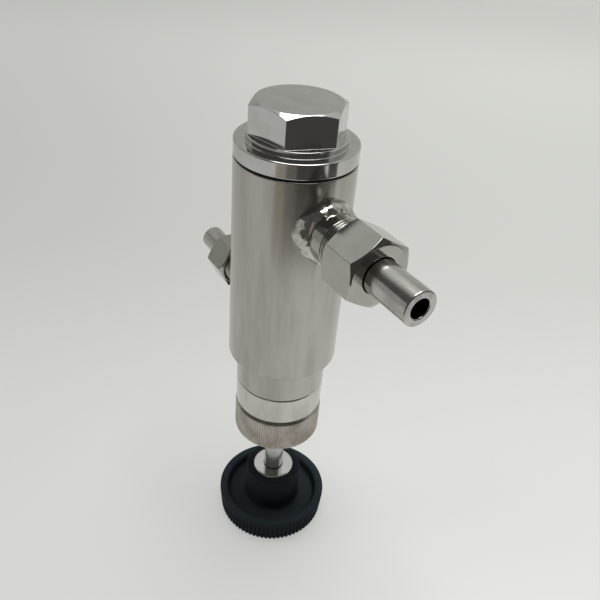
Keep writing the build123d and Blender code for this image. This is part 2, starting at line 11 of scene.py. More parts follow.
import bmesh
import bpy
import numpy as np
from bpy.types import Material, Node, NodeSocket, NodeTree, Object
from mathutils import Matrix, Vector


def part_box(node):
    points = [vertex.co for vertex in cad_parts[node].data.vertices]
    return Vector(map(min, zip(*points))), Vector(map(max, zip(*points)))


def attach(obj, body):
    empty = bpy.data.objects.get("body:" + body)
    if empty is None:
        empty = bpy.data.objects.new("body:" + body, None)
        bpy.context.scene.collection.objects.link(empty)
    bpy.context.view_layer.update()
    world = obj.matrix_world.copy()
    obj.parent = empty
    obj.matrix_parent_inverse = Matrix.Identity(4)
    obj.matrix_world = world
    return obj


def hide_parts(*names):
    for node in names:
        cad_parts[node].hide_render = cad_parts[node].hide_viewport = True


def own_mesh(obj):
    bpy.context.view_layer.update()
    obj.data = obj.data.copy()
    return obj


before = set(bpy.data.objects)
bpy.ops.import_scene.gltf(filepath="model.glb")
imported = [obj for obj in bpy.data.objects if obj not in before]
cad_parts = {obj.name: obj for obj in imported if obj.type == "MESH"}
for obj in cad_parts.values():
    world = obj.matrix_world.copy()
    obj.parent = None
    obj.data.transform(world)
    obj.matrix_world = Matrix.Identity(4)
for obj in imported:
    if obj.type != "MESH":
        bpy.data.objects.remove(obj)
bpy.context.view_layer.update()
LOG = logging.getLogger("valve")
MM = 0.001
EDGE_BREAK = 0.2
SHARP_ANGLE = 42.0
CHAMFER_ANGLE = 30.0
SEAL_ANGLE = 12.0
THREAD_RUNOUT = 0.9
RUNNING = 0.05


def span(node: str) -> tuple[np.ndarray, np.ndarray]:
    """Gives a CAD node's lowest and highest corners.

    Args:
        node: The node's name.

    Returns:
        The two corners in millimetres.
    """
    low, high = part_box(node)
    return np.array(low) / MM, np.array(high) / MM


def turned_span(node: str) -> tuple[float, float, float]:
    """Gives a turned CAD node's lowest and highest height and its largest radius, in millimetres."""
    low, high = span(node)
    return low[2], high[2], high[0]


def linear(colour: str, alpha: float = 1.0) -> tuple[float, float, float, float]:
    """Turns an sRGB hex value such as "c8c4bc" into the linear colour that shaders take.

    Args:
        colour: Six hex digits.
        alpha: The fourth value.

    Returns:
        Linear red, green, blue and alpha.
    """
    coded = np.array([int(colour[i:i + 2], 16) for i in (0, 2, 4)]) / 255
    plain = np.where(coded <= 0.04045, coded / 12.92, ((coded + 0.055) / 1.055) ** 2.4)
    return (*plain.tolist(), alpha)


def ease(values: np.ndarray, start: float, end: float) -> np.ndarray:
    """Rises smoothly from 0 at start to 1 at end, as 3t^2 - 2t^3."""
    t = np.clip((values - start) / (end - start), 0, 1)
    return t * t * (3 - 2 * t)


def wander(angles: np.ndarray, seed: int, orders: Sequence[int]) -> np.ndarray:
    """Uneven value round a circle: a sum of cosines of whole orders with seeded phases, about -1 to 1.

    Args:
        angles: Angles in radians.
        seed: Seed of the phases and weights.
        orders: How many waves each cosine has round the circle.

    Returns:
        One value for each angle.
    """
    source = np.random.default_rng(seed)
    phases = source.uniform(0, 2 * np.pi, len(orders))
    weights = source.uniform(0.4, 1.0, len(orders))
    waves = np.cos(np.multiply.outer(np.asarray(orders), angles) + phases.reshape(-1, *[1] * angles.ndim))
    return np.tensordot(weights, waves, axes=1) / weights.sum() * 1.6


@dataclass(frozen=True)
class Axle:
    """Straight line that a turned piece is made about.

    Attributes:
        origin: Where height 0 is.
        along: Unit direction of growing height.
        first: Unit direction of angle 0, square to along.
    """

    origin: tuple[float, float, float]
    along: tuple[float, float, float]
    first: tuple[float, float, float]

    def place(self, angles: np.ndarray, radii: np.ndarray, heights: np.ndarray) -> np.ndarray:
        """Puts cylinder coordinates into the frame.

        A point is origin + height along + radius (cos angle first + sin angle second),
        where second is the cross product of along and first.

        Args:
            angles: Angles in radians.
            radii: Distances from the axle.
            heights: Distances along it.

        Returns:
            Points with a last axis of three.
        """
        second = np.cross(self.along, self.first)
        turn = np.cos(angles)[..., None] * np.array(self.first) + np.sin(angles)[..., None] * second
        return np.array(self.origin) + heights[..., None] * np.array(self.along) + radii[..., None] * turn


VALVE_AXLE = Axle((0, 0, 0), (0, 0, 1), (1, 0, 0))


class Side(Enum):
    """The two ports, with the sign of X on which each stands."""

    FRONT = 1
    REAR = -1

    @property
    def word(self) -> str:
        """The side's word in the names of nodes and bodies."""
        return self.name.lower()

    def axle(self) -> Axle:
        """The port's axle, running outwards, with angle 0 straight up."""
        low, high = span(f"{self.word}_tube_stub")
        return Axle((0, 0, (low[2] + high[2]) / 2), (self.value, 0, 0), (0, 0, 1))


class Section:
    """Half-section of a turned piece, drawn corner by corner as radius and height.

    Radii and heights may differ from column to column, so that a hexagon or a knurl is drawn in the same way.
    """

    guard = 1.3
    reach = 0.38

    def __init__(self, angles: np.ndarray) -> None:
        """Starts an empty section for a piece whose columns stand at these angles, in radians."""
        self.angles = angles
        self.parts: list[tuple[np.ndarray, float, int]] = []

    def to(self, radius: float | np.ndarray, height: float | np.ndarray, cut: float = EDGE_BREAK,
           steps: int = 3) -> "Section":
        """Adds a corner.

        Args:
            radius: Its radius, one for all columns or one each.
            height: Its height, likewise.
            cut: How far from the corner its rounding starts, 0 for a sharp one.
            steps: How many facets the rounding has.

        Returns:
            The section itself.
        """
        count = len(self.angles)
        columns = [np.broadcast_to(np.asarray(value, float), count) for value in (radius, height)]
        self.parts.append((np.stack(columns, axis=-1)[:, None], cut, steps))
        return self

    def through(self, radii: np.ndarray, heights: np.ndarray) -> "Section":
        """Adds ready rows of points.

        Args:
            radii: Their radii, with a row for each column or one row for all.
            heights: Their heights, one for each point of a row.

        Returns:
            The section itself.
        """
        rows = np.stack(np.broadcast_arrays(radii, heights), axis=-1)
        rows = np.broadcast_to(rows, (len(self.angles), *rows.shape[-2:]))
        self.parts.append((rows, 0.0, 0))
        return self

    def rows(self, closed: bool) -> np.ndarray:
        """Rounds the corners.

        A corner C with rounding ends A and B becomes (1-t)^2 A + 2t(1-t) C + t^2 B. A guard point just
        outside each end keeps the side beyond it flat under smooth shading.

        Args:
            closed: Whether the last point joins the first.

        Returns:
            Points of every column as radius and height.
        """
        done = []
        last = len(self.parts) - 1
        for k, (points, cut, steps) in enumerate(self.parts):
            if cut == 0 or (not closed and k in (0, last)):
                done.append(points)
                continue
            corner = points[:, 0]
            sides = []
            for other in (self.parts[k - 1][0][:, -1], self.parts[(k + 1) % (last + 1)][0][:, 0]):
                side = other - corner
                length = np.linalg.norm(side, axis=-1, keepdims=True)
                sides.append(side / length * np.minimum(cut, self.reach * length))
            t = np.linspace(0, 1, steps + 1)[None, :, None]
            start, end = corner + sides[0], corner + sides[1]
            curve = (1 - t) ** 2 * start[:, None] + 2 * t * (1 - t) * corner[:, None] + t ** 2 * end[:, None]
            before, after = corner + self.guard * sides[0], corner + self.guard * sides[1]
            done += [before[:, None], curve, after[:, None]]
        return np.concatenate(done, axis=1)


def even(count: int) -> np.ndarray:
    """Angles of evenly spaced columns round a full turn, in radians."""
    return np.arange(count) * 2 * np.pi / count


@dataclass(frozen=True)
class Hexagon:
    """Outline of a hexagon with slightly rounded corners.

    Attributes:
        across_flats: Its wrench size.
        turn: Angle of one corner, in degrees.
        corner_round: Radius of each corner's rounding.
    """

    across_flats: float
    turn: float
    corner_round: float = 0.35

    @property
    def corner(self) -> float:
        """Radius of the circle through the unrounded corners."""
        return self.across_flats / 3 ** 0.5

    def half_round(self) -> float:
        """Half the angle that a corner's rounding takes, in radians."""
        centre = self.corner - self.corner_round / np.cos(np.pi / 6)
        return float(np.arctan2(self.corner_round / 2, centre + self.corner_round * np.cos(np.pi / 6)))

    def angles(self, per_face: int = 24) -> np.ndarray:
        """Sets columns close together round each corner and evenly between.

        Args:
            per_face: How many columns the even part of a flat has.

        Returns:
            The column angles, in radians.
        """
        half = self.half_round()
        rounding = np.linspace(-half, half, 7)
        flat = np.concatenate([[1.6 * half], np.linspace(3 * half, np.pi / 3 - 3 * half, per_face),
                               [np.pi / 3 - 1.6 * half]])
        one = np.concatenate([rounding, flat])
        return np.sort((np.radians(self.turn) + np.add.outer(even(6), one).ravel()) % (2 * np.pi))

    def radius(self, angles: np.ndarray) -> np.ndarray:
        """Works out the radius at each angle.

        On a flat it is the half width over the cosine of the angle from the flat's middle. Within a corner it
        is the far crossing with a circle of the rounding radius whose centre lies on the corner's own ray.

        Args:
            angles: Angles in radians.

        Returns:
            One radius for each angle.
        """
        off = np.abs((angles - np.radians(self.turn) + np.pi / 6) % (np.pi / 3) - np.pi / 6)
        flat = self.across_flats / 2 / np.cos(np.pi / 6 - off)
        centre = self.corner - self.corner_round / np.cos(np.pi / 6)
        inside = np.maximum(self.corner_round ** 2 - (centre * np.sin(off)) ** 2, 0)
        return np.where(off <= self.half_round(), centre * np.cos(off) + np.sqrt(inside), flat)


@dataclass(frozen=True)
class Thread:
    """Right-hand screw thread with flat crests and roots.

    Attributes:
        major: Radius over the crests.
        pitch: Rise in one turn.
        depth: Height of the ridge.
    """

    major: float
    pitch: float
    depth: float

    def rows(self, angles: np.ndarray, low: float, high: float) -> tuple[np.ndarray, np.ndarray]:
        """Works out the ridge between two heights.

        The phase is height over pitch less the angle in turns. A triangle wave of it, clipped top and bottom,
        is the ridge, and it fades in and out over one pitch at the ends.

        Args:
            angles: The column angles, in radians.
            low: Where the thread starts.
            high: Where it ends.

        Returns:
            Radii with a row for each column, and the heights of the points in a row.
        """
        heights = np.linspace(low, high, int((high - low) / self.pitch * 16) + 1)
        phase = heights[None, :] / self.pitch - angles[:, None] / (2 * np.pi)
        wave = 1 - np.abs(2 * (phase % 1) - 1)
        ridge = np.clip((wave - 0.06) / 0.6, 0, 1)
        fade = ease(heights, low, low + self.pitch / 2) * (1 - ease(heights, high - self.pitch, high))
        return self.major - self.depth * (1 - ridge) * fade, heights


def grid_object(name: str, points: np.ndarray, wrap_rows: bool, wrap_columns: bool = True) -> Object:
    """Makes a mesh from a grid of points whose columns go round.

    Each face takes point (c, m) and its neighbours (c+1, m), (c+1, m+1), (c, m+1). Points that meet at a pole
    are merged.

    Args:
        name: The object's name.
        points: Columns by rows by three, in millimetres.
        wrap_rows: Whether the last row joins the first.
        wrap_columns: Whether the last column joins the first.

    Returns:
        The object, smooth shaded, with nothing assigned yet.
    """
    columns, rows = points.shape[:2]
    index = np.arange(columns * rows).reshape(columns, rows)
    beside = np.roll(index, -1, axis=0)
    faces = np.stack([index, beside, np.roll(beside, -1, axis=1), np.roll(index, -1, axis=1)], axis=-1)
    faces = faces[:columns if wrap_columns else -1, :rows if wrap_rows else -1].reshape(-1, 4)
    mesh = bpy.data.meshes.new(name)
    mesh.from_pydata((points.reshape(-1, 3) * MM).tolist(), [], faces.tolist())
    shape = bmesh.new()
    shape.from_mesh(mesh)
    bmesh.ops.remove_doubles(shape, verts=shape.verts, dist=1e-7)
    shape.to_mesh(mesh)
    shape.free()
    mesh.shade_smooth()
    piece = bpy.data.objects.new(name, mesh)
    bpy.context.scene.collection.objects.link(piece)
    return piece


def turned(name: str, axle: Axle, section: Section, closed: bool) -> Object:
    """Carries a half-section round an axle.

    The section runs anticlockwise with radius to the right and height up, which turns the faces outwards, so
    one that runs clockwise, by the sign of its area, is reversed.

    Args:
        name: The object's name.
        axle: What it is turned about.
        section: The half-section.
        closed: Whether the section is a ring. Otherwise both its ends lie on the axle.

    Returns:
        The object.
    """
    rows = section.rows(closed)
    radii, heights = rows[..., 0], rows[..., 1]
    area = np.sum(radii[0] * np.roll(heights[0], -1) - np.roll(radii[0], -1) * heights[0])
    if area < 0:
        radii, heights = radii[:, ::-1], heights[:, ::-1]
    points = axle.place(np.broadcast_to(section.angles[:, None], radii.shape), radii, heights)
    return grid_object(name, points, closed)


def cut_away(piece: Object, cutter: Object) -> None:
    """Takes the cutter's space out of a piece for good, removes the cutter and keeps the new rims sharp.

    Args:
        piece: The piece that is cut.
        cutter: The closed form that is taken away.
    """
    modifier = piece.modifiers.new(cutter.name, "BOOLEAN")
    modifier.operation = "DIFFERENCE"
    modifier.solver = "EXACT"
    modifier.object = cutter
    graph = bpy.context.evaluated_depsgraph_get()
    mesh = bpy.data.meshes.new_from_object(piece.evaluated_get(graph))
    piece.modifiers.clear()
    piece.data = mesh
    bpy.data.objects.remove(cutter)
    mesh.set_sharp_from_angle(angle=np.radians(SHARP_ANGLE))


Value = NodeSocket | float | tuple[float, ...]


def node(tree: NodeTree, kind: str, settings: dict[str, str | bool] | None = None,
         inputs: dict[str | int, Value] | None = None) -> Node:
    """Adds a node with its settings and links.

    Args:
        tree: Where it goes.
        kind: Its type.
        settings: Properties to set, by name.
        inputs: Values of its inputs, or the sockets that feed them, by name or number.

    Returns:
        The node.
    """
    made = tree.nodes.new(kind)
    for name, value in (settings or {}).items():
        setattr(made, name, value)
    for key, value in (inputs or {}).items():
        if isinstance(value, NodeSocket):
            tree.links.new(value, made.inputs[key])
        else:
            made.inputs[key].default_value = value
    return made


def maths(tree: NodeTree, operation: str, *values: Value, clamp: bool = False) -> NodeSocket:
    """Works out one operation on up to three values."""
    made = node(tree, "ShaderNodeMath", {"operation": operation, "use_clamp": clamp}, dict(enumerate(values)))
    return made.outputs[0]


def ramp(tree: NodeTree, value: NodeSocket, start: float, end: float, low: float = 0.0,
         high: float = 1.0, kind: str = "SMOOTHSTEP") -> NodeSocket:
    """Carries a value between start and end over to low and high, and holds it there beyond them.

    Args:
        tree: Where its node goes.
        value: The socket with the value.
        start: The value that gives low.
        end: The value that gives high.
        low: What it gives at the start.
        high: What it gives at the end.
        kind: The curve between, smooth or straight.

    Returns:
        The socket with the result.
    """
    made = node(tree, "ShaderNodeMapRange", {"interpolation_type": kind}, {
        "Value": value, "From Min": start, "From Max": end, "To Min": low, "To Max": high})
    return made.outputs["Result"]


def blend(tree: NodeTree, share: NodeSocket, first: str, second: str) -> NodeSocket:
    """Mixes two hex colours, all of the second where the share is 1."""
    made = node(tree, "ShaderNodeMix", {"data_type": "RGBA"}, {0: share, 6: linear(first), 7: linear(second)})
    return made.outputs[2]


def noise(tree: NodeTree, size: Sequence[float], detail: float, grit: float) -> NodeSocket:
    """Makes a noise over the object's own coordinates, each divided by the size wanted along it.

    Args:
        tree: Where its nodes go.
        size: How large its features are along X, Y and Z, in millimetres.
        detail: How many finer layers it has.
        grit: How strong each finer layer is against the one before.

    Returns:
        The socket with the noise, from 0 to 1.
    """
    place = node(tree, "ShaderNodeTexCoord").outputs["Object"]
    scaled = node(tree, "ShaderNodeVectorMath", {"operation": "MULTIPLY"}, {
        0: place, 1: tuple(1 / (length * MM) for length in size)})
    made = node(tree, "ShaderNodeTexNoise", inputs={
        "Vector": scaled.outputs["Vector"], "Scale": 1.0, "Detail": detail, "Roughness": grit})
    return made.outputs["Fac"]


def along(tree: NodeTree, place: NodeSocket, way: tuple[float, float, float]) -> NodeSocket:
    """Gives how far a place lies along a direction: their dot product."""
    made = node(tree, "ShaderNodeVectorMath", {"operation": "DOT_PRODUCT"}, {0: place, 1: way})
    return made.outputs["Value"]


def bump(tree: NodeTree, height: NodeSocket, depth: float,
         below: NodeSocket | None = None) -> NodeSocket:
    """Tilts the surface as if it rose by a height.

    Args:
        tree: Where its node goes.
        height: The height as a share of the depth.
        depth: How much the surface rises where the height is 1, in thousandths of a millimetre.
        below: The normal of an earlier bump that this one lies on.

    Returns:
        The socket with the tilted normal.
    """
    inputs = {"Strength": 1.0, "Distance": depth * MM ** 2, "Height": height}
    if below is not None:
        inputs["Normal"] = below
    return node(tree, "ShaderNodeBump", inputs=inputs).outputs["Normal"]


def new_material(name: str) -> tuple[Material, NodeTree, Node]:
    """Makes an empty node material.

    Args:
        name: The material's name.

    Returns:
        The material, its tree and its output node.
    """
    material = bpy.data.materials.new(name)
    material.use_nodes = True
    material.node_tree.nodes.clear()
    return material, material.node_tree, node(material.node_tree, "ShaderNodeOutputMaterial")


@dataclass(frozen=True)
class Finish:
    """Surface of a piece, built as a material the first time it is asked for.

    Attributes:
        name: The material's name.
        colour: The tone of its clean parts.
        patches: The tone of its dull patches.
        roughness: Roughness of the clean parts.
        dulling: How much rougher the patches are.
    """

    name: str
    colour: str
    patches: str
    roughness: float
    dulling: float

    def inputs(self, tree: NodeTree) -> dict[str, Value]:
        """Gives what feeds the surface shader, by the names of its inputs."""
        raise NotImplementedError

    def material(self) -> Material:
        """Builds the material the first time.

        Returns:
            The material, the same one each time.
        """
        if self.name in bpy.data.materials:
            return bpy.data.materials[self.name]
        material, tree, output = new_material(self.name)
        shader = node(tree, "ShaderNodeBsdfPrincipled", inputs=self.inputs(tree))
        tree.links.new(shader.outputs["BSDF"], output.inputs["Surface"])
        return material


@dataclass(frozen=True)
class Steel(Finish):
    """Stainless steel, turned and then belted or polished by hand.

    It reflects the room softly. Clouds of finer and coarser polish change the gloss and the tone a little,
    low waves from the hand polish bend the reflections, and tool marks run one way across the surface.

    Attributes:
        cloud_size: Size of the dull patches along X, Y and Z.
        mark_size: Size of the tool marks, likewise.
        mark_depth: Depth of the tool marks, in thousandths of a millimetre.
        wave_size: Size of the polishing waves along X, Y and Z.
        wave_depth: Depth of the waves, in thousandths of a millimetre.
    """

    cloud_size: tuple[float, float, float]
    mark_size: tuple[float, float, float]
    mark_depth: float
    wave_size: tuple[float, float, float]
    wave_depth: float

    def inputs(self, tree: NodeTree) -> dict[str, Value]:
        """Makes the clouds for tone and gloss, and the marks and waves for the relief.

        The roughness is the clean one plus the clouds times the dulling, plus a streak that runs straight
        from a quarter of the dulling below to about a third above as the marks rise.

        Args:
            tree: Where the nodes go.

        Returns:
            What feeds the surface shader, by the names of its inputs.
        """
        patch = ramp(tree, noise(tree, self.cloud_size, 5.0, 0.6), 0.38, 0.68)
        marks = noise(tree, self.mark_size, 3.0, 0.6)
        waves = noise(tree, self.wave_size, 1.5, 0.4)
        dull = maths(tree, "MULTIPLY_ADD", patch, self.dulling, self.roughness)
        streak = ramp(tree, marks, 0.3, 0.7, -0.25 * self.dulling, 0.35 * self.dulling, "LINEAR")
        return {"Base Color": blend(tree, patch, self.colour, self.patches), "Metallic": 1.0,
                "Roughness": maths(tree, "ADD", dull, streak, clamp=True),
                "Normal": bump(tree, marks, self.mark_depth, bump(tree, waves, self.wave_depth))}


@dataclass(frozen=True)
class Moulded(Finish):
    """Moulded or sheet material that isn't metal: plastic, rubber or fibre gasket.

    It is an even body colour under a thin gloss, broken by a fine mould grain and by faint handling marks
    that dull it in patches.

    Attributes:
        grain_size: Size of the mould grain.
        grain_depth: Depth of the grain, in thousandths of a millimetre.
        shine: Strength of its gloss, 0.5 for plain plastic.
        patch_size: Size of the handled patches.
    """

    grain_size: float
    grain_depth: float
    shine: float = 0.5
    patch_size: float = 18.0

    def inputs(self, tree: NodeTree) -> dict[str, Value]:
        """Makes the handled patches for tone and gloss, and the grain for the relief.

        The roughness is the clean one plus the patches times the dulling.

        Args:
            tree: Where the nodes go.

        Returns:
            What feeds the surface shader, by the names of its inputs.
        """
        patch = ramp(tree, noise(tree, [self.patch_size] * 3, 4.0, 0.6), 0.42, 0.7)
        return {"Base Color": blend(tree, patch, self.colour, self.patches), "IOR": 1.5,
                "Roughness": maths(tree, "MULTIPLY_ADD", patch, self.dulling, self.roughness, clamp=True),
                "Specular IOR Level": self.shine,
                "Normal": bump(tree, noise(tree, [self.grain_size] * 3, 2.0, 0.5), self.grain_depth)}


# Stainless bar, turned and belt-polished by hand: a soft grey with faint upright bands
BELTED_STEEL = Steel("stainless_belt_polished", "b5b2ac", "a7a39c", 0.19, 0.07,
    (9, 9, 70), (10, 10, 0.7), 1.5, (9, 9, 90), 16)
# Stainless bar, turned and buffed: close to a mirror, almost clean
BUFFED_STEEL = Steel("stainless_buffed", "c4c4c1", "bcbbb7", 0.1, 0.05,
    (9, 9, 9), (12, 12, 0.4), 0.7, (12, 12, 12), 5)
# Stainless bar as turned: a satin ring of fine tool marks
TURNED_STEEL = Steel("stainless_turned", "c9c8c2", "bab7b0", 0.18, 0.08,
    (10, 10, 30), (12, 12, 0.35), 1.5, (14, 14, 14), 6)
# Knurled stainless, a little browner from handling
KNURLED_STEEL = Steel("stainless_knurled", "b5afa7", "9d958c", 0.28, 0.1,
    (8, 8, 8), (1.2, 1.2, 6), 2, (12, 12, 12), 8)
# Machined union steel: even satin, almost without waves
UNION_STEEL = Steel("stainless_satin_machined", "aeaea8", "a7a7a0", 0.1, 0.03,
    (12, 12, 12), (0.5, 9, 9), 0.3, (14, 14, 14), 2)
# Drawn and polished tube: streaks run along it
TUBE_STEEL = Steel("stainless_polished_tube", "bdbcb8", "a5a29c", 0.16, 0.08,
    (14, 6, 6), (12, 1.2, 1.2), 2, (14, 6, 6), 12)
# Weld metal, polished bright: smooth uneven facets and a warmer tint
WELD_STEEL = Steel("stainless_weld_bead", "c6c4bf", "b0aaa3", 0.08, 0.06,
    (3, 3, 3), (3, 3, 3), 3, (4.6, 4.6, 4.6), 70)
# Ground stem: bright, with a soft gloss
STEM_STEEL = Steel("stainless_ground", "d4d3cf", "c4c2bd", 0.24, 0.06,
    (3, 3, 40), (9, 9, 0.4), 0.5, (12, 12, 12), 3)
# Boss of the knob, faced and plated: a clean bright mirror
FACED_STEEL = Steel("steel_faced_plated", "d2d3d0", "cecfcc", 0.08, 0.02,
    (9, 9, 9), (0.6, 0.6, 9), 0.3, (12, 12, 12), 1)
# Inner steel as machined
INNER_STEEL = Steel("stainless_machined_inner", "bdbab2", "a9a59c", 0.28, 0.1,
    (8, 8, 8), (8, 8, 0.4), 2, (10, 10, 10), 5)
# Patented spring wire: dark grey with a bluish drawn skin
SPRING_STEEL = Steel("spring_steel_wire", "7f8184", "66676a", 0.33, 0.1,
    (5, 5, 5), (1, 1, 1), 2, (8, 8, 8), 4)
# Cast bronze, turned: warm yellow brown
BRONZE = Steel("bronze_turned", "b58a52", "94703f", 0.28, 0.12,
    (6, 6, 6), (8, 8, 0.4), 2, (10, 10, 10), 5)
# Phenolic hand knob, compression moulded: blue black, nearly matt
PHENOLIC = Moulded("phenolic_moulded_black", "252c31", "293035", 0.66, 0.1, 0.9, 3, 0.05)
# Nitrile seals: matt black
NITRILE = Moulded("nitrile_rubber_black", "17171a", "202023", 0.6, 0.1, 0.5, 4)
# Compressed fibre gasket: nearly black, matt
FIBRE = Moulded("fibre_gasket_black", "0b0b0c", "161616", 0.75, 0.1, 0.5, 8)
# Fluoroplastic: white and waxy
FLUOROPLASTIC = Moulded("fluoroplastic_white", "dcdad4", "cbc8c0", 0.42, 0.1, 0.8, 3)


def dress(piece: Object, finish: Finish, body: str, slot: str, *nodes: str) -> None:
    """Gives a new piece its finish and its place in the frame.

    Args:
        piece: The piece.
        finish: Its finish.
        body: The body that it rides on.
        slot: Not used.
        nodes: The nodes that it replaces.
    """
    piece.data.materials.append(finish.material())
    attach(piece, body)
    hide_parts(*nodes)
    LOG.info("%s: %d faces, %s, on %s", piece.name, len(piece.data.polygons), finish.name, body)


@dataclass
class Barrel:
    """Barrel and neck, turned from one bar and bored from both ends to a web with the seat's thread.

    Attributes:
        ports: The ports whose sockets it has.
    """

    ports: Sequence["Port"]
    columns: int = 240
    neck_radius: float = 21.8
    neck_height: float = 17.5
    spigot_bore: float = 19.0
    spigot_depth: float = 16.0
    cylinder_bore: float = 17.0
    web_low_above: float = 61.3
    web_thick: float = 14.0
    seat_bore: float = 9.0
    seat_depth: float = 8.0
    orifice: float = 6.0
    cap_bore: float = 19.0
    cap_depth: float = 12.9
    socket_start: float = 20.0
    row_step: float = 2.0

    def section(self) -> Section:
        """Draws the half-section from the neck's mouth up the outside and down the bores.

        Returns:
            The section, a closed ring.
        """
        bottom, top, radius = turned_span("valve_body")
        step = bottom + self.neck_height
        web_low = bottom + self.web_low_above
        web_top = web_low + self.web_thick
        outside = np.arange(step + self.row_step, top - self.row_step / 2, self.row_step)
        drawn = Section(even(self.columns))
        drawn.to(self.spigot_bore, bottom, 0.3).to(self.neck_radius, bottom, 0.9, 5)
        drawn.to(self.neck_radius, step, 0.3).to(radius, step, 0.9, 4)
        drawn.through(np.full(outside.shape, radius), outside)
        drawn.to(radius, top, 0.5, 4).to(self.cap_bore, top, 0.3)
        drawn.to(self.cap_bore, top - self.cap_depth).to(self.cylinder_bore, top - self.cap_depth)
        drawn.to(self.cylinder_bore, web_top, 0.4).to(self.seat_bore, web_top, 0.3)
        drawn.to(self.seat_bore, web_top - self.seat_depth).to(self.orifice, web_top - self.seat_depth)
        drawn.to(self.orifice, web_low, 0.3).to(self.cylinder_bore, web_low, 0.4)
        drawn.to(self.cylinder_bore, bottom + self.spigot_depth)
        drawn.to(self.spigot_bore, bottom + self.spigot_depth)
        return drawn

    def socket(self, port: "Port") -> Object:
        """Makes the stepped cutter of one port: a narrow bore, then the connector's socket.

        Args:
            port: The port whose connector goes into it.

        Returns:
            The cutter, a closed form.
        """
        radius = port.connector_thread.major
        far = turned_span("valve_body")[2] + radius
        drawn = Section(even(120))
        drawn.to(0, 2.0, 0).to(port.bore, 2.0, 0).to(port.bore, self.socket_start, 0)
        drawn.to(radius, self.socket_start, 0).to(radius, far, 0).to(0, far, 0)
        return turned(f"{port.side.word}_socket", port.side.axle(), drawn, False)

    def build(self) -> None:
        """Builds the barrel and cuts both port sockets into it."""
        piece = turned("barrel_and_neck", VALVE_AXLE, self.section(), True)
        for port in self.ports:
            cut_away(piece, self.socket(port))
        dress(piece, BELTED_STEEL, "housing", "body_steel", "valve_body")


@dataclass
class Cap:
    """Screwed top cap with its flange, collar and hexagon, and the gasket under the flange."""

    hexagon: Hexagon = Hexagon(36.0, 14.05, 0.3)
    hexagon_height: float = 13.4
    top_face_radius: float = 17.6
    collar_radius: float = 21.2
    collar_height: float = 2.7
    flange_height: float = 6.5
    plug: Thread = Thread(19.0, 1.5, 0.85)
    plug_top_above: float = 2.0
    nose_radius: float = 14.5
    nose_length: float = 2.5
    guide_radius: float = 3.55
    guide_depth: float = 11.6
    gasket_bore: float = 19.0

    def section(self) -> Section:
        """Draws the half-section from the guide bore's end round the outside to the middle of the top.

        The chamfer is a cone, so its edge on the hexagon drops by the excess of the hexagon's radius over the
        top face's times the tangent of the chamfer's angle.

        Returns:
            The section, open at the axle.
        """
        bottom, top, radius = turned_span("top_cap")
        angles = self.hexagon.angles()
        hexagon = self.hexagon.radius(angles)
        edge = top - (hexagon - self.top_face_radius) * np.tan(np.radians(CHAMFER_ANGLE))
        collar_top = top - self.hexagon_height
        flange_top = collar_top - self.collar_height
        flange_low = flange_top - self.flange_height
        plug_low = bottom + self.nose_length
        drawn = Section(angles)
        drawn.to(0, bottom + self.guide_depth).to(self.guide_radius, bottom + self.guide_depth)
        drawn.to(self.guide_radius, bottom, 0.3).to(self.nose_radius, bottom, 0.4)
        drawn.to(self.nose_radius, plug_low).to(self.plug.major - self.plug.depth, plug_low)
        drawn.through(*self.plug.rows(angles, plug_low + 1, flange_low - self.plug_top_above))
        drawn.to(self.plug.major, flange_low).to(radius, flange_low, 0.35)
        drawn.to(radius, flange_top, 0.6, 4).to(self.collar_radius, flange_top, 0.35)
        drawn.to(self.collar_radius, collar_top, 0.5, 4).to(hexagon, collar_top)
        drawn.to(hexagon, edge, 0.14, 3).to(self.top_face_radius, top, 0.3, 3).to(0, top)
        return drawn

    def gasket(self) -> Section:
        """Draws the flat gasket's half-section.

        Returns:
            The section, a closed ring.
        """
        bottom, top, radius = turned_span("cap_gasket")
        drawn = Section(even(180))
        drawn.to(self.gasket_bore, bottom, 0.1).to(radius, bottom)
        return drawn.to(radius, top).to(self.gasket_bore, top, 0.1)

    def build(self) -> None:
        """Builds the cap and its gasket."""
        cap = turned("cap_with_hexagon", VALVE_AXLE, self.section(), False)
        dress(cap, BUFFED_STEEL, "housing", "cap_steel", "top_cap")
        ring = turned("flange_gasket", VALVE_AXLE, self.gasket(), True)
        dress(ring, FIBRE, "housing", "gasket", "cap_gasket")


